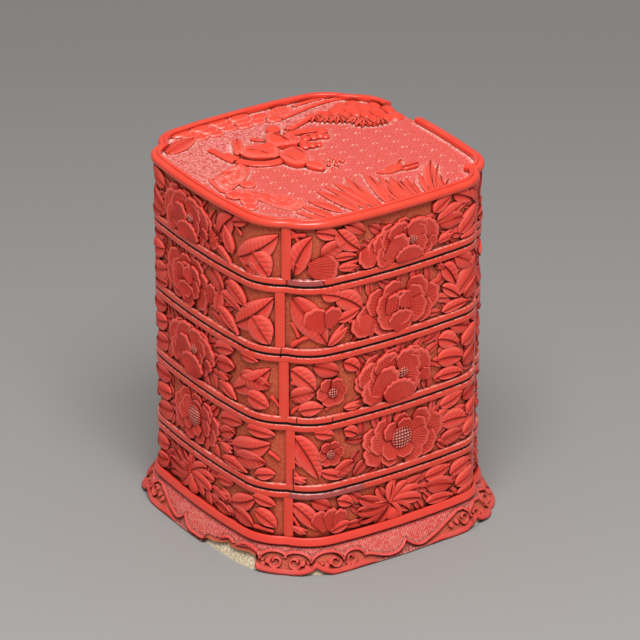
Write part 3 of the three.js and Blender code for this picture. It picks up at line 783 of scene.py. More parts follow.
# %% Plates and bands
def soften(corners, closed, rounds=3):
    """A line with its corners cut off again and again, which rounds them"""
    points = np.array(corners, float)
    for _ in range(rounds):
        ahead = np.roll(points, -1, axis=0)
        cut = np.stack([0.75 * points + 0.25 * ahead, 0.25 * points + 0.75 * ahead], 1).reshape(-1, 2)
        points = cut if closed else np.r_[points[:1], cut[1:-3], points[-1:]]
    return points


PLATE_RINGS = np.array([0.18, 0.36, 0.52, 0.66, 0.78, 0.87, 0.94, 1.0])
BAND_COLUMNS = np.array([-1, -0.85, -0.5, -0.12, 0.12, 0.5, 0.85, 1])


def plate(relief, corners, top, edge=0.7, rounds=3, rings=PLATE_RINGS, pattern=None):
    """A raised plate inside an outline; a pattern gives lift and dust from ring share, x and y"""
    ring = soften(corners, True, rounds)
    ahead = np.roll(ring, -1, axis=0)
    if (ring[:, 0] * ahead[:, 1] - ring[:, 1] * ahead[:, 0]).sum() < 0:
        ring = ring[::-1]
    centre = (ring.min(axis=0) + ring.max(axis=0)) / 2
    share = np.broadcast_to(rings[:, None], (len(rings), len(ring)))
    x = centre[0] + share * (ring[:, 0] - centre[0])
    y = centre[1] + share * (ring[:, 1] - centre[1])
    lift, dust_and_sheen = pattern(share, x, y) if pattern else (0.0, 0.0)
    # Wear and a painted highlight on a ring inside the edge
    relief.disc(centre, x, y, top - edge * share ** 10 + lift, dust_and_sheen, 0.3 * ((share > 0.7) & (share < 0.98)))


def band(relief, corners, width, top, taper, groove=0.0):
    """A long raised band along a line, with a rounded back and an optional groove down its middle"""
    line = soften(corners, False)
    slope = np.gradient(line, axis=0)
    slope = slope / np.linalg.norm(slope, axis=1, keepdims=True)
    normal = np.c_[-slope[:, 1], slope[:, 0]]
    across = BAND_COLUMNS
    share = np.linspace(0, 1, len(line))[:, None]
    half = width / 2 * (1 - taper * share)
    place = line[:, None] + normal[:, None] * (half * across)[..., None]
    h = top - 0.4 * width * (1 - np.sqrt(1 - 0.9 * across ** 2)) - groove * (np.abs(across) < 0.2)
    h = np.broadcast_to(h, place.shape[:2])
    relief.block(place[..., 0], place[..., 1], h, dust_and_sheen=(np.abs(across) < 0.2) * (groove > 0) * 0.4)


# %% [markdown]
# ## Flowers
#
# A peony is rings of petals round its heart. Outer petals lie low and open flat, inner ones stand
# higher and close over the heart, which is a hatched seed head, a comb of stamens or a tight bud.

# %% A flower
FLOWERS = {
    # rings: how many petals, first angle, root and tip as shares of the size, spread, height, cup
    "open": [(8, 10, 0.35, 1.04, 60, 1.1, 0.7), (6, 32, 0.15, 0.68, 70, 1.65, 0.7)],
    "closed": [(8, 0, 0.35, 1.04, 56, 1.05, 0.7), (6, 25, 0.2, 0.76, 60, 1.5, 0.7)],
    "seed": [(9, 8, 0.35, 1.04, 52, 1.1, 0.7), (7, 26, 0.2, 0.74, 60, 1.55, 0.7)],
    "small": [(6, 0, 0.1, 1.0, 62, 1.4, 0.5)],
    "ray": [],
}
CLOSED_HEART = [
    (-0.2, -0.1, -0.4, 0.3, 72, 1.6), (0.2, -0.05, 0.43, 0.28, 76, 1.6), (-0.06, 0.0, -0.12, 0.47, 84, 1.75),
    (0.14, 0.0, 0.2, 0.46, 84, 1.85), (-0.12, -0.2, -0.42, -0.2, 70, 1.75), (0.3, -0.2, 0.46, -0.12, 66, 1.8),
]


def flower(relief, centre, wide, high, style, seed):
    """A flower of one style inside an ellipse"""
    def at(x, y):
        """A point given as shares of the flower's size"""
        return centre + np.array([x * wide, y * high])

    draw = np.random.default_rng(seed)
    for count, first, root, tip, spread, top, cup in FLOWERS[style]:
        for number in range(count):
            angle = math.radians(first + 360 * number / count + draw.uniform(-6, 6))
            reach = draw.uniform(0.9, 1.06)
            ray = np.array([math.cos(angle) * wide / 2, math.sin(angle) * high / 2])
            stretch = 1 + 0.5 * abs(math.sin(angle)) * (wide / high - 1)
            height = top + draw.uniform(-0.2, 0.2)
            petal(relief, centre + ray * root, centre + ray * tip * reach, spread * stretch, height, cup)
    if style == "open":
        for number in range(7):
            x = centre[0] - wide * 0.12 + number * wide * 0.04
            start, end = (x, centre[1] - high * 0.02), (x + 0.9, centre[1] + high * 0.14)
            twig(relief, start, end, 0.45, 0.0, 2.0)
        petal(relief, at(-0.16, -0.06), at(-0.02, 0.26), 60, 1.95, 0.3)
        petal(relief, at(0.12, 0.0), at(0.0, 0.26), 70, 2.0, 0.2)
        petal(relief, at(0.0, -0.42), at(0.02, -0.02), 95, 1.9, 0.25, ribs=14, lobes=5)
    if style == "closed":
        # Where each petal starts and ends as shares of the flower's size, its spread and its height
        for root_x, root_y, tip_x, tip_y, spread, top in CLOSED_HEART:
            petal(relief, at(root_x, root_y), at(tip_x, tip_y), spread, top, 0.45, ribs=11, lobes=4)
        dome(relief, at(0.1, 0.02), wide * 0.14, high * 0.2, 2.15, 4, 0.5, 0.4)
        petal(relief, at(-0.28, -0.3), at(0.02, 0.14), 50, 2.15, 0.35)
        petal(relief, at(0.04, -0.54), at(0.08, -0.08), 112, 2.25, 0.3, ribs=17, lobes=7)
    if style == "ray":
        for number in range(11):
            angle = math.radians(18 + 360 * number / 11 + draw.uniform(-7, 7))
            ray = np.array([math.cos(angle) * wide / 2, math.sin(angle) * high / 2])
            end, top = centre + ray * draw.uniform(0.85, 1.05), 1.5 + 0.25 * (number % 3)
            width = 4.4 + 1.6 * abs(math.cos(angle))
            leaf(relief, centre, end, width, 0.12, top, 0.8, veined=0, blunt=0.5)
        dome(relief, centre + (2.0, -0.3 * high), wide * 0.22, high * 0.34, 2.2, 0, 0.7)
        twig(relief, at(0.05, 0.5), centre, 1.6, 0.1, 2.2)
    if style == "seed":
        dome(relief, at(0.0, 0.02), wide * 0.25, high * 0.42, 2.3, 7, 0.7, 0.45)
    if style == "small":
        dome(relief, centre, wide * 0.28, high * 0.32, 2.1, 4, 0.5, 0.4)


# %% [markdown]
# ## Panel layouts
#
# Every panel is filled edge to edge: a large flower near the middle, leaves and buds on short twigs
# at both ends. The layouts are plain lists, x from the middle of the side, y from the foot of the
# panel. A leaf is its tail, tip and width, with its bend and raised side where they aren't the usual
# ones. The two unseen sides repeat the layouts turned about.

# %% Layouts of the +X side
RIGHT = {
    "lid": {
        "flowers": [("closed", 3.5, 7.5, 33, 19)],
        "leaves": [
            (-45, 1.5, -37.5, 18, 8.2, 0.14, 1), (-34, 9.5, -23.5, 13.5, 7, 0.05, -1),
            (-27, 19.5, -17, 9.5, 7, -0.12, 1), (-36, 20, -26, 16.5, 5.5),
            (-29, 8.2, -18.5, 7.2, 3.4, 0.05, 1), (-24, 21, -15, 15.5, 5, 0.15, -1),
            (19, 12, 32, 16.5, 6.5, -0.1, 1), (20, 10, 33, 9.5, 6.5, 0.12, -1), (17, 16, 26, 21, 5.5),
            (27, 21, 38, 15.5, 6), (30, 3.5, 44, 11.5, 7.5, 0.12, 1), (36, 21, 46, 12.5, 6.5, 0.1, -1),
            (31, 1.2, 46, 3, 4.4, -0.1, 1),
        ],
        "buds": [(-27, 3.6, -18, 2.6, 5.5), (19, 3.2, 27, 4.5, 5)],
        "petals": [(-39, 5.2, -26.5, 3.2, 64), (-9, 8.5, -17, 2.2, 60)],
        "twigs": [(-46, 20, -42, 14, 2.2), (-46, 17.5, -40, 18.5, 2.6), (-46, 9, -43, 5, 1.4)],
    },
    "upper_tray": {
        "flowers": [("open", 1.5, 9.5, 38, 23)],
        "leaves": [
            (-46, 21.5, -31.5, 1.5, 11, 0.06, -1), (-28, 21.5, -16, 13.5, 8, 0.12, 1),
            (-34, 23.5, -25, 20.5, 6), (-27, 11, -17, 14, 4.6, -0.1, 1), (22, 22, 29, 12, 6.5),
            (28, 23.5, 38, 17, 7, 0.1, -1), (29, 7, 46, 19.5, 9.5), (22, 12.5, 31, 5.5, 5),
            (33, 5, 46, 9, 6, 0.1, -1), (22, 1.5, 36, 2.5, 4.5), (40, 23, 46.5, 12, 5),
        ],
        "buds": [(-31, 1.0, -22.5, 7, 6), (23, 20, 19, 23, 3.5)],
        "petals": [(-33, 7.5, -38.5, 17, 62), (-30.5, 8.5, -27.5, 17, 60), (-12, 9, -20, 3, 66)],
        "twigs": [(-46, 1, -38, 5.5, 3.0), (-46, 11, -43, 5, 2.2), (-22, 9, -18, 8.5, 2)],
    },
    "middle_tray": {
        "flowers": [("closed", -1, 10.5, 37, 22), ("small", -29, 10, 14, 13)],
        "leaves": [
            (-46, 20.5, -36, 12, 8), (-46, 8, -36, 11, 6.5, 0.1, -1), (-43, 3, -33, 4.5, 6),
            (-37, 22, -26, 17.5, 7, 0.1, -1), (-24, 22, -17, 17, 5.5), (20, 20, 30, 15, 7, 0.12, 1),
            (26, 23.5, 38, 19.5, 6.5, 0.1, -1), (20, 11, 33, 8.5, 8), (32, 14, 45, 18.5, 7.5),
            (33, 5, 46, 9.5, 7, 0.1, -1), (20, 3.5, 33, 2, 5),
        ],
        "buds": [(-24, 2, -17, 1.5, 4.5), (38, 23, 45.5, 22, 4)],
        "twigs": [(-46, 14.5, -40, 13, 2), (-46, 1.5, -42, 5, 2.2), (-32, 3, -25, 5, 1.8)],
    },
    "lower_tray": {
        "flowers": [("seed", 2.5, 11.5, 39, 23), ("small", -30, 13, 12, 12)],
        "leaves": [
            (-45, 21.5, -34.5, 2.5, 9, 0.08, 1), (-37, 23, -28, 20.5, 5), (-28, 3, -19, 7, 6, 0.1, -1),
            (-34, 6, -22, 2, 4.5, -0.1, 1), (-24, 22, -17.5, 18.5, 5), (21, 20, 33, 23, 6, -0.1, 1),
            (22, 12, 36, 10.5, 8), (33, 19.5, 46, 21.5, 6.5, 0.1, -1), (35, 12, 46, 15.5, 6.5),
            (22, 3, 34, 4.5, 6, 0.12, -1), (33, 4, 46, 5.5, 6.5),
        ],
        "buds": [(-46, 3, -40, 1.5, 4), (20, 16, 25, 17, 4)],
        "twigs": [(-46, 11, -42, 8, 2), (-46, 6, -43, 3, 2)],
    },
    "base": {
        "flowers": [("ray", -3, 8, 34, 19)],
        "leaves": [
            (-45.5, 15, -34, 3, 7), (-38, 16.5, -30, 12.5, 5.5, 0.1, -1), (-27, 15.5, -20, 12, 5),
            (-30, 2, -21, 4, 5), (14, 14, 27, 15.5, 6, -0.1, 1), (15, 9, 28, 6, 7, 0.12, -1),
            (27, 11, 39, 14, 6.5), (30, 5, 44, 8, 7), (15, 2.5, 28, 1.5, 4.5),
            (38, 16, 46, 12, 5, 0.1, -1), (31, 1, 45, 2, 3.5),
        ],
        "buds": [(-46, 5, -40, 2, 4)],
        "petals": [(-32, 3, -35.5, 12, 54), (-30, 3, -29.5, 12.5, 48), (-28, 3, -24, 11, 48)],
        "twigs": [(-46, 9, -43, 5, 2)],
    },
}

# %% Layouts of the -Y side
LEFT = {
    "lid": {
        "flowers": [("closed", -10, 9, 35, 20)],
        "leaves": [
            (24.5, 4.3, 44.5, 18, 9.5, -0.1, 1), (33.5, 9.5, 41, 0.5, 10.5, 0.0, 1),
            (22, 4.5, 17, 15, 5.5, 0.1, -1), (13, 9.5, 22, 20, 9), (22, 18, 31, 21, 4.5),
            (11, 4.5, 21, -0.2, 3.2), (-28, 4, -42, 10, 8), (-27, 15, -40, 19.5, 7, 0.1, -1),
            (-30, 2, -46, 2.5, 6), (-40, 21, -46.5, 12, 5), (30, 2.5, 36, 1.2, 5, 0.1, -1),
        ],
        "buds": [(8, 3.5, 13, 8, 5)],
        "petals": [(8, 9, 11, 2, 55)],
        "twigs": [(24.5, 5.5, 31, -0.3, 1.4), (22, 17.5, 27, 14, 1.4)],
    },
    "upper_tray": {
        "flowers": [("open", -10, 11, 34, 22)],
        "leaves": [
            (23, 5, 42.5, 21, 9.5, -0.1, 1), (33, 12, 41, 1.2, 11, 0.0, 1), (12, 8, 25, 0.5, 5, 0.12, 1),
            (11, 5, 15, 16, 6, 0.1, -1), (14, 15, 27, 11.5, 4), (18, 21, 30, 14.5, 7),
            (7, 22, 15, 14, 7, 0.1, -1), (-27, 8, -40, 4, 8), (-28, 17, -42, 14.5, 7.5, 0.1, -1),
            (-28, 22.5, -40, 21.5, 5), (-38, 2.5, -46.5, 10, 6), (-26, 2, -37, 0.8, 4),
        ],
        "buds": [(23, 21, 18, 23, 3.5)],
        "petals": [(6, 7, 9, 16, 40)],
        "twigs": [(12, 6.5, 24, 3, 1.6), (-42, 22, -46, 18, 2)],
    },
    "middle_tray": {
        "flowers": [("closed", -8, 12, 34, 21)],
        "leaves": [
            (22, 6, 41, 20, 8, -0.1, 1), (26, 13, 41, 12, 7.5, 0.1, -1), (30, 6.5, 40.5, 3.5, 7.5),
            (12, 5, 23, 1, 5, 0.12, 1), (10, 19, 22, 22, 6), (11, 13, 22, 14.5, 6.5, 0.1, -1),
            (-26, 6, -40, 3, 7.5), (-27, 15, -41, 12, 7.5, 0.1, -1), (-27, 21.5, -42, 20.5, 6),
            (-38, 8, -46.5, 15, 5), (26, 22.5, 36, 22, 4),
        ],
        "buds": [(12, 9, 18, 8, 5)],
        "twigs": [(41, 8, 44.5, 4, 2), (-42, 2, -46, 6, 2)],
    },
    "lower_tray": {
        "flowers": [("seed", -5, 12, 34, 22)],
        "leaves": [
            (20, 10, 41, 17, 9, -0.1, 1), (23, 5.5, 39, 8, 7.5, 0.1, -1), (14, 2, 30, 1.5, 4.5),
            (13, 19, 27, 22, 6.5), (13, 12, 22, 15.5, 5.5, 0.1, -1), (30, 21.5, 43, 21, 5.5),
            (-23, 6, -37, 3.5, 7.5), (-24, 14, -38, 12, 7, 0.1, -1), (-24, 21, -40, 20.5, 6.5),
            (-38, 7, -46.5, 13, 5.5), (34, 2, 43, 4, 5),
        ],
        "buds": [(13, 8, 20, 6, 5)],
        "twigs": [(40, 13, 44.5, 10, 2), (-42, 17, -46, 20, 2)],
    },
    "base": {
        "flowers": [("ray", -9, 9, 34, 19)],
        "leaves": [
            (19, 8, 34, 15, 7, -0.12, 1), (21, 5, 33, 2, 6.5, 0.1, -1), (34, 10, 43.5, 4, 6.5),
            (10, 14.5, 21, 16, 5), (9, 3, 19, 1.5, 4.5, 0.1, -1), (-27, 6, -40, 3, 6.5),
            (-27, 13, -41, 12, 6.5, 0.1, -1), (-38, 8, -46.5, 13.5, 5), (33, 16, 43, 13.5, 5),
        ],
        "buds": [(11, 8.5, 17, 7.5, 5)],
        "twigs": [(33, 2, 42, 1.5, 2.2)],
    },
}


# %% Carve the panels
LEAF_SWELL, TWIG_TOP = 1.12, 1.15
USUAL_BEND, USUAL_SIDE = 0.1, 1
# How far the relief stays short of the notches, and how far it may run over the fillets
NOTCH_MARGIN, FILLET_LAP = 1.6, 0.4
# Undergrowth: spacing along and up, the share of the flower's size kept clear, and the sparse end
GROWTH_PITCH, FLOWER_CLEAR, SPARSE_FROM = (6.8, 6.3), 0.42, 21


def undergrowth(relief, layout, height, seed, sparse):
    """Low leaves between the main ones, pointing away from the flower, and few at the sparse end"""
    draw = np.random.default_rng(seed)
    _, heart_x, heart_y, wide, high = layout["flowers"][0]
    for column in np.arange(-44.5, 45.5, GROWTH_PITCH[0]):
        for row in np.arange(2.5, height, GROWTH_PITCH[1]):
            x, y = column + draw.uniform(-2, 2), row + draw.uniform(-1.5, 1.5)
            heading = math.atan2(2.0 * (y - heart_y), x - heart_x) + draw.uniform(-0.7, 0.7)
            length, width = draw.uniform(7.5, 10.5), draw.uniform(3.6, 5.2)
            bend, top = draw.uniform(-0.15, 0.15), draw.uniform(0.65, 1.0)
            away = math.hypot((x - heart_x) / wide, (y - heart_y) / high)
            if away < FLOWER_CLEAR or x * sparse > SPARSE_FROM:
                continue
            half = np.array([math.cos(heading), math.sin(heading)]) * length / 2
            leaf(relief, (x, y) - half, (x, y) + half, width, bend, top, fold=0.4, veined=0)


def carve_panel(relief, layout, height, seed, sparse):
    """Lays a panel's twigs, leaves, buds and flowers on a relief"""
    undergrowth(relief, layout, height, seed, sparse)
    for tail_x, tail_y, tip_x, tip_y, width in layout["twigs"]:
        twig(relief, (tail_x, tail_y), (tip_x, tip_y), width, USUAL_BEND, TWIG_TOP)
    for number, row in enumerate(layout["leaves"]):
        x0, y0, x1, y1, width, bend, side = (*row, USUAL_BEND, USUAL_SIDE)[:7]
        top, veined = 1.45 + 0.18 * (number % 3), number % 4 < 3
        leaf(relief, (x0, y0), (x1, y1), width * LEAF_SWELL, bend, top, side=side, veined=veined)
    for x0, y0, x1, y1, width in layout["buds"]:
        bud(relief, (x0, y0), (x1, y1), width)
    for x0, y0, x1, y1, spread in layout.get("petals", []):
        petal(relief, (x0, y0), (x1, y1), spread, 1.6, 0.3)
    for style, x, y, wide, high in layout["flowers"]:
        flower(relief, np.array([x, y], float), wide, high, style, seed)


for tier_number, tier in enumerate(TIERS):
    low, high = panel[tier]
    points, faces, marks = [], [], []
    count = 0
    for side, layout in enumerate([LEFT[tier], RIGHT[tier], LEFT[tier], RIGHT[tier]]):
        left, right_end = side_ends(side)
        relief = Relief(limits=(
            left + NOTCH_MARGIN, right_end - NOTCH_MARGIN, -FILLET_LAP, high - low + FILLET_LAP,
        ))
        carve_panel(relief, layout, high - low, 10 * tier_number + side % 2 + 1, 1 - 2 * (side % 2))
        flat = np.concatenate(relief.points)
        x, y = wall(side, flat[:, 0], GROUND + flat[:, 2])
        points.append(np.c_[x, y, low + flat[:, 1]])
        faces += [[corner + count for corner in face] for face in relief.faces]
        marks.append(np.concatenate(relief.marks))
        count += len(flat)
    marks = np.concatenate(marks)
    named = {name: marks[:, column] for column, name in enumerate(("dust_and_sheen", "wear_and_highlight", "painted_shade"))}
    carved = make_object(tier + "_flowers", np.concatenate(points), faces, CARVED, named)
    fasten(carved, tier)
    print(tier, "flowers:", len(faces), "faces")

# %% [markdown]
# ## Uprights
#
# A plain upright covers the notch at each corner. Each tier was cut by hand, so the front ones do not
# stand exactly above each other.

# %% Uprights at the corners
UPRIGHT_WIDTH, UPRIGHT_CROWN, UPRIGHT_REACH, UPRIGHT_LAP = 3.8, 0.35, -0.1, 0.3
FRONT_SHIFT = {"lid": 0.0, "upper_tray": -2.5, "middle_tray": -1.1, "lower_tray": 1.3, "base": 0.5}


def around(side, s, reach):
    """A plan point at distance s past the notch that ends a side"""
    following = (side + 1) % 4
    if s <= 0:
        return wall(side, side_ends(side)[1] + s, reach)
    return wall(following, side_ends(following)[0] + s, reach)


def upright(side, shift, low, high):
    """A bar over the notch at the end of a side, as points and faces"""
    half = UPRIGHT_WIDTH / 2
    ends, inner = (
        [np.array(around(side, shift + sign * half, reach), float) for sign in (-1, 1)]
        for reach in (UPRIGHT_REACH, CORE)
    )
    chord = ends[1] - ends[0]
    out = np.array([chord[1], -chord[0]]) / np.hypot(*chord)
    profile = [inner[0]]
    for share in np.linspace(0, 1, 9):
        crown = -UPRIGHT_CROWN * (2 * share - 1) ** 4
        profile.append(ends[0] + chord * share + out * crown)
    profile.append(inner[1])
    heights = np.linspace(low - UPRIGHT_LAP, high + UPRIGHT_LAP, 12)
    points = [(x, y, z) for z in heights for x, y in profile]
    size = len(profile)
    faces = ring_faces(len(heights), size)[:-1].reshape(-1, 4).tolist()
    faces.append(list(range(size))[::-1])
    faces.append([(len(heights) - 1) * size + i for i in range(size)])
    return points, faces


for tier in TIERS:
    low, high = panel[tier]
    bars = []
    for side in range(4):
        points, faces = upright(side, FRONT_SHIFT[tier] if side == 0 else 0.0, low, high)
        bars.append(make_object(f"{tier}_upright_{side}", points, faces, POLISHED))
    fasten(merge(tier + "_uprights", bars), tier)

# %% [markdown]
# ## Lid
#
# A raised rim frames a low landscape. The rim is two sweeps, a stout outer roll and a finer inner
# one, broken where a stretch was lost. The field under them is a fine height grid: still water with
# engraved ripples on one side, stippled land on the other.

# %% Rim
RIM_LOW, RIM_TOP = level("lid_rim", 0), level("lid_rim", 1)
BREAK = (9.6, 27.0)
# Each roll: how far inside the outline, height above the rim's foot, width, height and rounding
RIM_ROLLS = [(-0.85, 1.55, 3.3, 3.1, 1.3), (-2.4, 1.75, 1.6, 3.5, 0.55)]


def broken_path(reach):
    """The outline at one reach, from one end of the lost stretch round to the other"""
    path = ring_path(reach)
    kept = [index for index, (x, y) in enumerate(path) if y > 40 and -BREAK[1] < x < -BREAK[0]]
    first, last = max(kept) + 1, min(kept)
    return path[first:] + path[:last]


rim = sweep("lid_rim_rolls", [
    (broken_path(reach), RIM_LOW + rise, width, tall, rounding, False)
    for reach, rise, width, tall, rounding in RIM_ROLLS
], POLISHED)
fasten(rim, "lid", ["lid_rim"])

# %% Field
FIELD_RISE, FIELD_THICKNESS = 1.2, 1.1
FIELD_TOP = level("lid_board", 1) + FIELD_RISE
FIELD_STEP = 0.4
FIELD_EDGE, FIELD_HALF = -2.1, 57
GRAIN_HEIGHT, RIPPLE_HEIGHT, RIPPLE_PITCH = 0.16, 0.07, 1.5
SHORES = [
    [(-60, -60), (-4, -60), (-5, -46), (-13, -28), (-16, -24), (-12, -10), (-10, 0), (-20, 6), (-30, 8),
     (-38, 30), (-45, 40), (-60, 40)],
    [(12, -60), (12, -50), (28, -46), (36, -38), (42, -22), (40, -8), (44, 6), (45, 20), (48, 30), (60, 34),
     (60, -60)],
]


def inside_polygon(x, y, corners):
    """True for plan points inside a polygon"""
    inside = np.zeros(x.shape, bool)
    for (x0, y0), (x1, y1) in zip(corners, corners[1:] + corners[:1]):
        crosses = (y0 > y) != (y1 > y)
        slope = (x1 - x0) / (y1 - y0) if y1 != y0 else 0.0
        inside ^= crosses & (x < slope * (y - y0) + x0)
    return inside


def on_land(x, y):
    """True for plan points on either shore"""
    return inside_polygon(x, y, SHORES[0]) | inside_polygon(x, y, SHORES[1])


def field():
    """The lid's field as a closed plate with its relief and marks"""
    span = np.arange(-FIELD_HALF, FIELD_HALF + FIELD_STEP, FIELD_STEP)
    x, y = np.meshgrid(span, span, indexing="ij")
    draw = np.random.default_rng(7)
    land = on_land(x, y)
    rough = draw.uniform(-1, 1, x.shape)
    rough = (rough + np.roll(rough, 1, 0) + np.roll(rough, 1, 1)) / 2
    long_waves = np.sin((y + 0.8 * np.sin(x / 4)) * 2 * np.pi / RIPPLE_PITCH)
    ripple = long_waves * 0.5 + 0.5 * np.sin(x * 2.1 + np.sin(y))
    height = np.where(land, GRAIN_HEIGHT * rough, RIPPLE_HEIGHT * ripple + 0.05 * rough)
    cell_x, cell_y = (x[:-1, :-1] + x[1:, 1:]) / 2, (y[:-1, :-1] + y[1:, 1:]) / 2
    kept = inside_polygon(cell_x, cell_y, ring_path(FIELD_EDGE))
    index = np.arange(x.size).reshape(x.shape)
    under = index + x.size
    corners = [index[:-1, :-1], index[1:, :-1], index[1:, 1:], index[:-1, 1:]]
    below = [under[:-1, :-1], under[:-1, 1:], under[1:, 1:], under[1:, :-1]]
    faces = [np.stack([c[kept] for c in corners], -1), np.stack([c[kept] for c in below], -1)]
    for shift, axis, first, second in ((1, 0, 0, 3), (-1, 0, 2, 1), (1, 1, 1, 0), (-1, 1, 3, 2)):
        open_side = kept & ~np.roll(kept, shift, axis)
        a, b = corners[first][open_side], corners[second][open_side]
        faces.append(np.stack([a, b, b + x.size, a + x.size], -1)[:, ::-1])
    faces = np.concatenate(faces)
    used, compact = np.unique(faces, return_inverse=True)
    top = np.c_[x.ravel(), y.ravel(), (FIELD_TOP + height).ravel()]
    bottom = np.c_[x.ravel(), y.ravel(), np.full(x.size, FIELD_TOP - FIELD_THICKNESS)]
    marks = {"land": np.r_[land.ravel(), np.zeros(x.size)][used]}
    return np.r_[top, bottom][used], compact.reshape(faces.shape).tolist(), marks


field_points, field_faces, field_marks = field()
water = make_object("lid_water", field_points, field_faces, FIELD, field_marks)
fasten(water, "lid", ["lid_field"])
print("field:", len(field_faces), "faces")

# %% [markdown]
# The water is pricked with small rosettes, three specks each, in staggered rows. Geometry Nodes set a
# squashed ball on each point and turn and size it a little at random, and the pale dust is the finish.

# %% Rosettes on the water
def speck_tree():
    """Points to small squashed balls, with their size and seed as inputs"""
    tree, given = new_tree("pricked specks", {
        "Places": "Geometry", "Size": "Float", "Seed": "Int", "Finish": "Material",
    }, "Specks")
    ball = add_node(tree, "GeometryNodeMeshIcoSphere", {}, {"Radius": given["Size"], "Subdivisions": 1})
    flat_ball = add_node(tree, "GeometryNodeTransform", {}, {
        "Geometry": ball.outputs[0], "Scale": (1, 1, 0.5),
    })
    turn = add_node(tree, "FunctionNodeRandomValue", {"data_type": "FLOAT_VECTOR"}, {
        "Min": (0, 0, 0), "Max": (0, 0, 6.28), "Seed": given["Seed"],
    })
    scale = add_node(tree, "FunctionNodeRandomValue", {"data_type": "FLOAT_VECTOR"}, {
        "Min": (0.5, 0.7, 0.8), "Max": (1.2, 1.5, 1.1), "Seed": given["Seed"],
    })
    placed = add_node(tree, "GeometryNodeInstanceOnPoints", {}, {
        "Points": given["Places"], "Instance": flat_ball.outputs[0],
        "Rotation": turn.outputs["Value"], "Scale": scale.outputs["Value"],
    })
    end_tree(tree, placed, given["Finish"], "Specks")
    return tree


ROSETTE_PITCH = (6.1, 7.7)
ROSETTE_EDGE = -4.0
ROSETTE = [(0.0, 0.0), (-1.1, -1.0), (-0.4, -1.9)]
SPECK_SIZE, SPECK_RISE = 0.32, 0.05
columns, rows = np.meshgrid(np.arange(-9, 10), np.arange(-7, 8))
rosette_x = ((columns + 0.5 * (rows % 2)) * ROSETTE_PITCH[0]).ravel()
rosette_y = (rows * ROSETTE_PITCH[1] - 2.5).ravel()
clear = inside_polygon(rosette_x, rosette_y, ring_path(ROSETTE_EDGE)) & ~on_land(rosette_x, rosette_y)
speck_points = [
    (x + dx, y + dy, FIELD_TOP + SPECK_RISE)
    for x, y in zip(rosette_x[clear], rosette_y[clear]) for dx, dy in ROSETTE
]
source = make_object("lid_specks_path", speck_points, [], None)
specks = run_tree("lid_specks", source, speck_tree(), {"Size": SPECK_SIZE * MM, "Seed": 5, "Finish": DUST})
fasten(specks, "lid")
print("rosettes:", int(clear.sum()))

# %% [markdown]
# The motifs on the field are cut with the same tools as the walls: reeds are long leaves, clouds are
# overlapping lobes with a line along their edge, rocks and the moored boat are plates and bands, and
# the pine is a heap of polished cushions over fans of needles.

# %% Patterns on plates
stippling = np.random.default_rng(11)


def lined(share, x, y):
    """One engraved line inside the edge"""
    line = np.abs(share - 0.78) < 0.05
    return -0.3 * line, 0.7 * line


def stippled(share, x, y):
    """A smooth raised border round a stippled middle"""
    inside = share < 0.85
    rough = stippling.uniform(-1, 1, x.shape)
    return np.where(inside, -0.55 + 0.12 * rough, 0.0), np.where(inside, np.clip(0.3 + rough, 0, 1), 0.0)


def combed(share, x, y):
    """Long grooves along the plate"""
    groove = np.cos(2 * np.pi * (x + 0.9 * y) / 3.4) ** 8
    return -0.2 * groove, 0.5 * groove


def pleated(share, x, y):
    """Broad folds with a sharp step, as in draped cloth"""
    fold = ((x - 1.3 * y) / 5.2) % 1
    return -0.4 * fold * (share < 0.95), 0.35 * (fold > 0.86)


# %% Reeds
lid_relief = Relief()
# Each reed: tail, tip and width
HATCHED_REEDS = [
    (48.6, -27.6, 36.5, -31.6, 3.8), (46, -22, 33.5, -27, 3.8), (49, -16, 28.5, -19.5, 4.6),
    (50, -12, 26, -14.5, 3.6), (49, -8.5, 25.5, -9.7, 4.6),
]
for number, (x0, y0, x1, y1, width) in enumerate(HATCHED_REEDS):
    top = 1.15 + 0.15 * (number % 3)
    leaf(lid_relief, (x0 + 3, y0), (x1, y1), width * 1.25, -0.1, top, 0.6, vein_mm=1.05, veined=2, depth=0.5)
REEDS = [
    (50, -6, 22.2, -2.3, 4.4), (51, -2.5, 23, 5.1, 5.2), (52, 2, 34, 5.5, 3.0), (51, 4.1, 29.3, 8.1, 4.6),
    (52, 7.8, 31.9, 12, 4.4), (52, 10, 38, 13, 2.6), (51, 11.4, 36.2, 16.4, 4.2), (51, 15.6, 36.1, 22.4, 4.0),
    (51, 18.4, 28.3, 33.8, 5.2), (49, -31, 40, -36.5, 3.0), (50, 23, 42, 29, 2.6),
]
for number, (x0, y0, x1, y1, width) in enumerate(REEDS):
    top = 1.15 + 0.2 * (number % 3)
    bend = 0.07 * (-1) ** number
    leaf(lid_relief, (x0 + 3, y0), (x1, y1), width * 1.2, bend, top, 0.9, veined=0, blunt=0.9)
    tail, tip = (x0 + 3, y0 + 0.6), (x1 + 5, y1 + 0.4)
    leaf(lid_relief, tail, tip, width * 0.45, bend, top + 0.15, 0.5, veined=0, blunt=0.9)
print("reeds:", len(HATCHED_REEDS) + len(REEDS))

# %% Clouds and rocks
FINE_RINGS = np.linspace(0.1, 1, 14)


def lobe(x, y, wide, high, top, edge):
    """An oval plate with an engraved line along its edge"""
    angle = np.linspace(0, 2 * np.pi, 24, endpoint=False)
    outline = np.c_[x + wide / 2 * np.cos(angle), y + high / 2 * np.sin(angle)]
    plate(lid_relief, outline, top, edge, 1, pattern=lined)


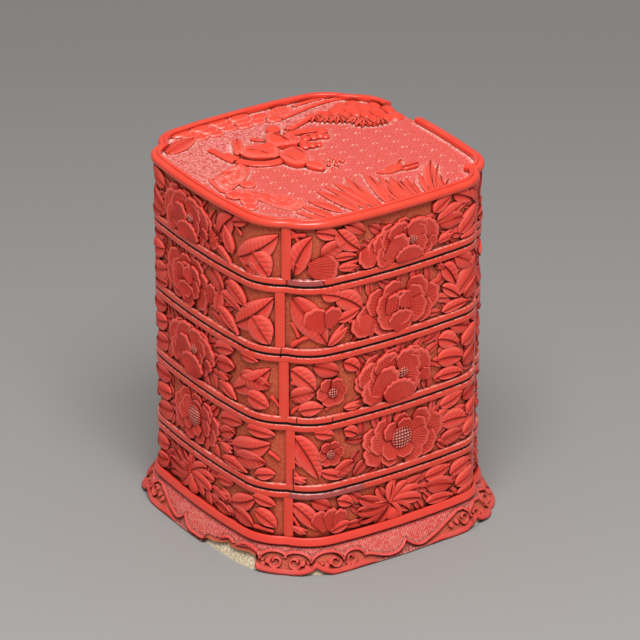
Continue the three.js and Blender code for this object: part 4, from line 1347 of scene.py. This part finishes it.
# Rows of cloud lobes along the left edge: x, spacing, width and height
CLOUD_ROWS = [(-48.6, 9.0, 6.4, 10.5), (-45.2, 8.2, 6.2, 9.6), (-41.6, 6.8, 5.4, 8.0)]
for row, (row_x, pitch, wide, high) in enumerate(CLOUD_ROWS):
    for number in range(round(38 / pitch)):
        along = number * pitch - 33 + 2.5 * row
        x = row_x + 0.0035 * (along + 12) ** 2 + 1.2 * (number % 2)
        lobe(x, along, wide, high, 1.7 - 0.35 * row + 0.3 * (number % 2), 1.3)
leaf(lid_relief, (-34.2, -47.8), (-41.6, -29.4), 8.6, 0.06, 1.3, 0.5, vein_mm=1.3, veined=2, depth=0.45)
plate(lid_relief, [(-45.6, 6.3), (-49.1, 11.9), (-49, 15.2), (-44.5, 18.7), (-38.2, 14.1), (-39.4, 9.2),
                   (-38, 2.1)], 1.3, 0.5, 2, FINE_RINGS, combed)
plate(lid_relief, [(-4.9, -48.5), (-3.6, -46.7), (-9.1, -37.3), (-10.2, -29.1), (-10.2, -29.1), (-3.7, -28.8),
                   (-3.7, -28.8), (3.8, -35.7), (7.6, -43.4), (11.7, -50.8)],
      1.4, 0.5, 1, np.r_[np.linspace(0.06, 0.82, 16), 0.86, 0.9, 0.95, 1.0], stippled)
band(lid_relief, [(-6.4, -40), (-5.4, -35), (-2.8, -30.4)], 1.1, 1.3, 0.2)
plate(lid_relief, [(4.8, -40), (4.9, -35.9), (7.6, -33.9), (12.2, -36.7), (9.1, -41.3)], 1.5)
plate(lid_relief, [(6.2, -45.6), (14.3, -39.4), (23.8, -30.9), (35.4, -27.1), (38.2, -34.2), (36.2, -39.2),
                   (19.6, -42.9)], 0.9, 0.4, 2, np.linspace(0.1, 1, 16), combed)
LOW_CLOUD = [(25.5, -48, 7, 6), (21.5, -46, 8, 7), (17, -44.5, 8, 7), (13.5, -47.5, 8, 7)]
for number, (x, y, wide, high) in enumerate(LOW_CLOUD):
    lobe(x, y, wide, high, 1.3 + 0.15 * number, 0.7)
print("with clouds and rocks:", len(lid_relief.faces), "faces")

# %% Pine
band(lid_relief, [(-26.5, 3.5), (-28.5, 8), (-30.2, 13), (-32.2, 19), (-33.6, 25)], 3.4, 2.4, 0.3, 0.3)
band(lid_relief, [(-38, 8), (-40, 16), (-41.6, 23.4), (-42.9, 32.8), (-41.5, 40)], 2.6, 1.6, 0.2, 0.3)
band(lid_relief, [(-46, 19), (-47, 26), (-46.5, 34)], 2.2, 1.1, 0.2, 0.3)
NEEDLES = [(-31, 22), (-28.5, 24), (-26.5, 27.5), (-24, 30), (-21.5, 32.5), (-18, 34), (-15, 36.5),
           (-15.5, 40), (-33, 20)]
for number, (x, y) in enumerate(NEEDLES):
    for turn in range(-84 + 9 * (number % 3), 20, 27):
        reach = 4.4 + 0.9 * ((number + turn) % 3)
        end = (x + reach * math.cos(math.radians(turn)), y + reach * math.sin(math.radians(turn)))
        leaf(lid_relief, (x - 1.5, y + 1), end, 2.3, 0.0, 1.6 + 0.25 * (number % 3), 0.7, veined=0, blunt=0.6)
PINE = [(-31.5, 25, 6, 5), (-31, 30, 7, 7), (-33.5, 34, 8, 6), (-27, 31, 6, 6), (-29.5, 36, 8, 7),
        (-25.5, 35.5, 6, 5), (-34, 40, 8, 7), (-27.5, 41, 9, 7), (-22.5, 38, 7, 5), (-18, 38.5, 6, 5),
        (-21.5, 43, 9, 6), (-16, 43, 7, 6), (-28, 46, 8, 6), (-21, 48, 8, 5), (-14.5, 47, 7, 7)]
for number, (x, y, wide, high) in enumerate(PINE):
    dome(lid_relief, (x, y), wide * 1.1, high * 1.1, 2.4 + 0.5 * (number * 2 % 3), 0, 2.6)
print("pine:", len(NEEDLES), "fans of needles and", len(PINE), "cushions")

# %% The moored boat
HULL = [
    # outline in plan, height above the field, how far the edge falls and the pattern
    ([(-29.5, -21), (-29.5, -18.5), (-27, -17.5), (-21.5, -20), (-16, -25), (-17, -28), (-24, -24)],
     3.2, 1.2, pleated),
    ([(-19.5, -24.5), (-21.5, -21), (-20.5, -15), (-18, -10.5), (-11, -10), (-5, -14), (-6.5, -19),
      (-12.5, -26.5)], 3.6, 1.0, pleated),
    ([(-26.5, -7.5), (-18.5, -12), (-13.5, -11), (-12.5, -5), (-11, -0.5), (-16, -1), (-23, -2.5),
      (-27, -4.5)], 4.0, 1.2, pleated),
    ([(-7.5, -14), (-9.5, -10), (-10, -5), (-7, -2.5), (1, -4.5), (6.5, -8.5), (6, -13), (1, -15.5)],
     3.9, 1.1, None),
    ([(4, -7), (6.5, -4), (10.5, -3), (14.5, -6.5), (9.5, -10), (5, -10)], 3.0, 0.9, pleated),
    ([(-22.5, -2.5), (-23.5, 1.5), (-18.5, 3), (-13.5, 2.5), (-12.5, -1.5), (-16, -4)], 2.6, 0.9, combed),
]
# Middle line of each plank, pole or bundle, its width, height and taper
PLANKS = [
    ([(-27.5, -32), (-23.5, -31.5), (-17.5, -31), (-12.5, -30)], 3.0, 2.1, -0.3),
    ([(-19.5, -29.5), (-16, -29), (-13, -28)], 2.4, 2.6, 0.1),
    ([(-12.5, -29), (-8, -26.5), (-4.5, -22.5), (-3, -17), (-4, -13)], 4.2, 2.3, 0.0),
    ([(-27.5, -13), (-25.5, -12), (-23.5, -9.5)], 1.8, 1.7, 0.1),
    ([(-23, 0), (-22.5, 5), (-21, 10.5), (-19, 15)], 3.4, 2.6, -0.2),
]
for line, width, top, taper in PLANKS:
    band(lid_relief, line, width, top, taper)
for outline, top, fall, pattern in HULL:
    plate(lid_relief, outline, top, fall, 2, FINE_RINGS, pattern)
# Straw and folds laid over the cargo: from, to, width and height
STROKES = [(-17, -22, -9, -17, 2.2, 3.9), (-8, -6, 0, -6, 2.4, 4.2), (-5, -13.5, 4, -12.5, 2.4, 4.1),
           (-24, -22, -28, -19, 2.0, 3.5), (-24, -5, -14, -4, 2.4, 4.3), (-14, 1.5, -20, 0.5, 1.6, 2.9),
           (-18, 4, -12, 14, 4.5, 2.2), (-13, -1, -7, 6, 4.0, 2.2)]
for x0, y0, x1, y1, width, top in STROKES:
    leaf(lid_relief, (x0, y0), (x1, y1), width, 0.1, top, 0.6, veined=0)
# Round bundles and baskets: middle, width, depth and height
BUNDLES = [(-28.5, -2, 6, 6, 4.4), (-14, -18.5, 8, 6, 4.0), (-16, -13, 6, 5.5, 4.2),
           (-2.5, -9.5, 10, 7, 4.5), (-19, -6.5, 6, 6, 4.6), (-15.5, 4.5, 4.6, 4.2, 3.2),
           (-15, 8, 4.2, 3.6, 3.0), (-15, 11, 4.4, 3.6, 3.3), (-17.5, 14, 5, 4.4, 3.6),
           (-13, 12.5, 3.4, 3.2, 2.8), (-9.5, 0.5, 4.4, 4, 2.9), (-9, 3.2, 4.8, 3.8, 3.1),
           (-8, 6, 3.4, 3, 2.6), (-12.5, 1.5, 4.4, 4.2, 2.9)]
for x, y, wide, high, top in BUNDLES:
    dome(lid_relief, (x, y), wide, high, top, 0, 1.5)
PEBBLES = [(3.5, 2), (7, 1.5), (10, -1.5), (13, -1.5), (8.5, 3.5), (10, 5), (5, 3.5), (6, -0.5),
           (11.5, 1), (13.5, 1.5)]
for number, (x, y) in enumerate(PEBBLES):
    dome(lid_relief, (x, y), 2.1, 1.9, 1.1 + 0.4 * (number % 3), 0, 0.9)
print("boat:", len(HULL) + len(PLANKS), "parts and", len(BUNDLES), "bundles")

# %% The landscape on the field
# The relief is moved and flattened to fit the field, and its hollows get less painted shade than a panel's
MOTIF_SHIFT, MOTIF_LIFT, MOTIF_SHADE = (-2.5, 1.7), 0.68, 0.3
# The ear where the rim turns at a notch, then a small leafy form on the water
dome(lid_relief, (44.1, 41.5), 5, 5, (RIM_TOP - FIELD_TOP) / MOTIF_LIFT, 0, 0.8)
leaf(lid_relief, (29, 17), (26.2, 9.6), 3.0, 0.1, 1.6, 0.5, veined=0)
leaf(lid_relief, (27.4, 19), (22, 24.4), 2.6, 0.1, 2.0, 0.5, veined=0)
leaf(lid_relief, (28.8, 19), (28.6, 28), 4.4, -0.06, 2.2, 0.7, veined=0, blunt=0.5)
dome(lid_relief, (27, 17.6), 5.6, 8.0, 2.9, 0, 1.6)
flat = np.concatenate(lid_relief.points)
flat[:, :2] += MOTIF_SHIFT
flat[:, 2] = FIELD_TOP + MOTIF_LIFT * flat[:, 2]
lid_marks = np.concatenate(lid_relief.marks)
motifs = make_object("lid_landscape", flat, lid_relief.faces, POLISHED, {
    "dust_and_sheen": lid_marks[:, 0], "wear_and_highlight": lid_marks[:, 1], "painted_shade": lid_marks[:, 2] * MOTIF_SHADE,
})
fasten(motifs, "lid")
print("landscape:", len(lid_relief.faces), "faces")

# %% [markdown]
# ## Foot
#
# The flared foot is a lacquer apron over composition. Its lower edge is cut in scallops with a raised
# bead and scrolls, over a fine diaper ground, and on the front a stretch is lost and the bare
# composition shows.

# %% Lines of the apron
FOOT_TOP = level("foot_apron", 1)
FLARE = 6.0
# The foot swells towards the notched corners: how much, where along the side, and over what width
CORNER_SWELL, SWELL_PLACE, SWELL_SPREAD = 1.8, 44, 6
# The raised line: its height near the middle, where it starts and ends its climb, and how far it climbs
LINE_LOW, LINE_START, LINE_END, LINE_CLIMB = 2.0, 5.8, 16.9, 2.6
DIAPER_PITCH, BEAD_HALF, SCROLLS_FROM = 1.3, 0.54, 12
SKIN_THICKNESS = 1.5
# The raised line has a cusp near the middle. Towards a soft corner it arches over the scrolls: middle,
# half width, springing height and top. Towards a notched corner it climbs through plain points.
CUSPS = [7.0, 2.2, 7.0, 2.2]
ARCHES = [(21.6, 4.7, 4.2, 7.4), (32.2, 5.9, 4.6, 8.6), (43.0, 4.9, 5.2, 8.6)]
CLIMB = [(0, 2.0), (10, 2.3), (17, 4.4), (24, 7.0), (29, 8.8), (32, 8.8), (33.6, 7.4), (34.2, 5.2),
         (34.8, 7.2), (38.5, 9.2), (42, 8.4), (43.4, 5.8), (44, 7.4), (50, 9.4)]
# The lower edge: distance from the middle of the side and height
EDGE = [(0, 0.5), (12, 0.6), (19, 0.5), (25, 0.1), (31, 0.1), (34.3, 1.6), (36.5, 3.1), (38, 1.7), (41, 0.6),
        (46, 0.1), (50, 0.1)]
LOSS = [(0, 0.5), (8, 0.6), (8.8, 2.0), (10.3, 3.0), (14.3, 3.2), (19.3, 4.6), (22.1, 5.8), (25, 5.0),
        (28.3, 5.2), (33.3, 6.2), (36.6, 5.4), (36.9, 1.6), (38, 0.9), (46, 0.1), (50, 0.1)]
LOSS_SPAN = (8.4, 37.2)
# Heads of the cloud scrolls: towards a soft corner or not, distance, height and radius of each lobe
HEADS = [(True, 24.6, 3.0, 1.1), (True, 32.9, 3.8, 1.2), (True, 31.4, 4.9, 1.2), (True, 34.4, 4.7, 0.9),
         (True, 39.4, 3.6, 1.1), (True, 40.9, 4.9, 1.2), (True, 39.0, 5.0, 0.8), (False, 24.4, 4.6, 1.3),
         (False, 27.4, 5.0, 1.2), (False, 40.2, 3.8, 1.3)]
# Curls that spring from the points between the arches, likewise
CURLS = [(True, 23.0, 4.6, 2.3), (True, 29.6, 4.9, 2.4), (True, 43.6, 4.9, 2.5), (False, 31.4, 5.6, 2.7),
         (False, 36.8, 5.4, 2.3), (False, 45.6, 5.0, 2.4)]


def bead_height(u, side):
    """Height of the raised line over points u along a side"""
    d = np.abs(u)
    soft = corner_ahead(side, u)
    toward_notch = np.where(soft, -d, d)
    cusp = 3.4 * np.clip(1 - np.abs(toward_notch - CUSPS[side]) / 7, 0, 1) ** 2.2
    rise = np.clip((d - LINE_START) / (LINE_END - LINE_START), 0, 1)
    line = LINE_LOW + LINE_CLIMB * rise ** 2 * (3 - 2 * rise)
    for middle, half, springing, top in ARCHES:
        share = np.clip(1 - ((d - middle) / half) ** 2, 0, 1)
        line = np.where(np.abs(d - middle) <= half, springing + (top - springing) * share ** 0.5, line)
    return np.where(soft, line, np.interp(d, *zip(*CLIMB))) + cusp


def curl_distance(d, z, middle, height, radius):
    """Distance to a hooked line that winds inwards"""
    across, upward = d - middle, z - height
    turn = (np.arctan2(upward, across) + np.pi) / (2 * np.pi)
    reach = np.hypot(across, upward)
    return np.abs(reach - radius * (0.95 - 0.6 * turn))


def apron_relief(u, z, edge, lost, side):
    """Lift, dust, bareness and painted shade of the apron along a side and up its height"""
    bead = bead_height(u, side)
    d, soft = np.abs(u), corner_ahead(side, u)
    slope = np.gradient(bead[0], u[0])
    off = (z - bead) / np.sqrt(1 + np.minimum(slope ** 2, 9))
    turns = 2 * np.pi / DIAPER_PITCH
    fret = np.maximum(np.cos(turns * (d + z)), np.cos(turns * (d - z)))
    lift = 0.14 * fret
    dust_and_sheen = np.clip(0.2 + 0.25 * fret, 0, 1)
    # Painted shade in the hollows of the diaper
    painted_shade = np.clip(0.16 - 0.2 * fret, 0, 1)
    bare = np.zeros_like(lift)
    below = off < 0
    scroll = below & (d > SCROLLS_FROM)
    plain = below & ~scroll
    # Below the raised line the plain apron is sunk and gets painted shade
    lift, painted_shade = np.where(plain, -1.1, lift), np.where(plain, 0.55, painted_shade)
    body = np.clip(1 - (z - edge - 2.1 * np.clip((d - SCROLLS_FROM) / 8, 0, 1) ** 0.7) / 0.4, 0, 1)
    raised = body
    for half, x, y, radius in HEADS:
        head = np.clip((radius - np.hypot(d - x, z - y)) / 0.4, 0, 1)
        raised = np.maximum(raised, head * (soft == half))
    for half, x, y, radius in CURLS:
        curl = np.clip(1.5 - curl_distance(d, z, x, y, radius) / 0.45, 0, 1)
        raised = np.maximum(raised, curl * (np.hypot(d - x, z - y) < radius) * (soft == half))
    lift = np.where(scroll, -0.8 + 1.35 * raised, lift)
    dust_and_sheen = np.where(scroll, 0.0, dust_and_sheen)
    # Painted shade on the slopes of the scrolls
    painted_shade = np.where(scroll, 0.5 * np.clip(1 - np.abs(raised - 0.35) / 0.35, 0, 1), painted_shade)
    bare = np.where(scroll, 0.6 * (1 - raised), bare)
    roll = np.exp(-(off / BEAD_HALF) ** 4)
    groove = np.exp(-((np.abs(off) - 0.85) / 0.26) ** 2)
    lift = np.maximum(lift, -0.8 + 1.55 * roll)
    bare, dust_and_sheen = bare * (1 - roll), dust_and_sheen * (1 - roll)
    # Painted shade in the grooves beside the raised line
    painted_shade = np.maximum(painted_shade * (1 - roll), 0.65 * groove)
    broken = lost & (z - edge < 1.6)
    bare = np.where(broken, 0.9 * np.clip(1.3 - (z - edge) / 0.9, 0, 1), bare)
    return np.where(broken, -0.5, lift), dust_and_sheen, bare, np.where(broken, 0.0, painted_shade)


# %% Apron
def apron():
    """The apron's skin as a closed shell: its points, faces and marks"""
    rings, marked = [], []
    for side in range(4):
        left, right_end = side_ends(side)
        u = np.linspace(left, right_end, 440)[:-1]
        d = np.abs(u)
        lost = (u > LOSS_SPAN[0]) & (u < LOSS_SPAN[1]) & (side == 0)
        edge = np.where((u > 0) & (side == 0), np.interp(d, *zip(*LOSS)), np.interp(d, *zip(*EDGE)))
        share = np.linspace(0, 1, 40)[:, None]
        z = edge + (FOOT_TOP - edge) * share
        wide_u = np.broadcast_to(u, z.shape)
        lift, *marks = apron_relief(wide_u, z, edge, np.broadcast_to(lost, z.shape), side)
        lift = lift * np.clip(share * 12, 0, 1) * np.clip((1 - share) * 8, 0, 1)
        open_share = 1 - np.clip(z / FOOT_TOP, 0, 1)
        near = np.exp(-((d - SWELL_PLACE) / SWELL_SPREAD) ** 2)
        swell = CORNER_SWELL * near * ~corner_ahead(side, u)
        x, y = wall(side, wide_u, FLARE * open_share ** 0.8 + swell * open_share + lift)
        rings.append(np.stack([x, y, z], -1))
        marked.append(np.stack(marks))
    grid = np.concatenate(rings, axis=1)
    marked = np.concatenate(marked, axis=2)
    inner = grid[::13].copy()
    radius = np.hypot(inner[..., 0], inner[..., 1])[..., None]
    inner[..., :2] *= (radius - SKIN_THICKNESS) / radius
    loop = np.concatenate([grid, inner[::-1]])
    plain = np.zeros(inner.shape[:2])
    names = ("dust_and_sheen", "bare", "painted_shade")
    marks = {name: np.concatenate([values, plain]).ravel() for name, values in zip(names, marked)}
    # The rings run up the outside and down the inside, and the last one meets the first
    faces = ring_faces(*loop.shape[:2]).reshape(-1, 4)
    return loop.reshape(-1, 3), faces.tolist(), marks


apron_points, apron_faces, apron_marks = apron()
skirt = make_object("foot_apron_skin", apron_points, apron_faces, RUBBED, apron_marks)
fasten(skirt, "base", ["foot_apron"])
print("apron:", len(apron_faces), "faces")

# %% [markdown]
# ## Age
#
# The lacquer has cracked beside the uprights and in the bands near the front. A crack that crosses a
# seam is split between its two tiers, so that nothing hangs below a lifted one. Two stretches of band
# were made good long ago in a duller mauve with more gloss.

# %% Cracks and old repairs
CRACK_WIDTH, CRACK_RISE, CRACK_DEPTH = 0.34, 0.16, -0.4
REPAIR_LAP, REPAIR_RISE = 0.1, 0.06
CRACKS = {
    # on each tier: side, then the points u and z that a crack runs through
    "lid": [(1, [(-47.2, 124.6), (-47.5, 122.7)]), (1, [(-33.2, 124.8), (-32.8, 123.6), (-32.4, 122.7)]),
            (1, [(-45.3, 130), (-45.4, 124.8)])],
    "upper_tray": [(0, [(45.7, 96), (45.4, 94.4), (45.5, 93.3)])],
    "middle_tray": [(0, [(45.5, 92.4), (44.9, 91.8)]), (1, [(-43.5, 66.4), (-43.6, 65), (-43.4, 63.9)]),
                    (1, [(-29.0, 66.2), (-29.4, 64.8), (-29.2, 63.9)])],
    "lower_tray": [(1, [(-44.9, 44), (-45.1, 40), (-44.8, 34.4)])],
}
REPAIRS = {
    # on each tier: from u, to u and the middle height, all on the +X side
    "lid": (-46.8, -33.4, SKIN["lid"][0] + (FILLET + HOLD_BACK) / 2),
    "base": (-46.6, -15.0, SKIN["base"][1] - (FILLET + HOLD_BACK) / 2),
}
for tier, lines in CRACKS.items():
    parts = []
    for side, line in lines:
        crack = Relief(CRACK_DEPTH)
        band(crack, line, CRACK_WIDTH, 0.0, 0.1)
        flat = np.concatenate(crack.points)
        x, y = wall(side, flat[:, 0], flat[:, 2] + CRACK_RISE)
        parts.append(make_object(tier + "_crack", np.c_[x, y, flat[:, 1]], crack.faces, LINING))
    fasten(merge(tier + "_cracks", parts), tier)
for tier, (start, end, height) in REPAIRS.items():
    x, y = wall(1, np.linspace(start, end, 24), -FILLET_WIDTH / 2 + 0.05)
    size = (FILLET_WIDTH + REPAIR_LAP, FILLET - HOLD_BACK + REPAIR_RISE, 0.5)
    run = (list(zip(x, y)), height, *size, False)
    # The repairs' upward faces are marked pale: partly dust, partly a painted sheen
    fasten(sweep(tier + "_repair", [run], REPAIR, dust_and_sheen=0.9), tier)
print("cracks on", len(CRACKS), "tiers, repairs on", len(REPAIRS))

# %% [markdown]
# ## Solids that keep their shape
#
# The cores, floors, linings and lips stay as they are, and only get their finish.

# %% Finishes of the kept solids
for tier in TIERS:
    board = "lid_board" if tier == "lid" else tier + "_floor"
    kept = {tier + "_wall": COMPOSITION, board: WOOD, tier + "_lining": LINING}
    if tier != "lid":
        kept[tier + "_lip"] = LINING
    for node, finish in kept.items():
        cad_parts[node].material_slots[0].material = finish
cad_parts["foot_core"].material_slots[0].material = COMPOSITION
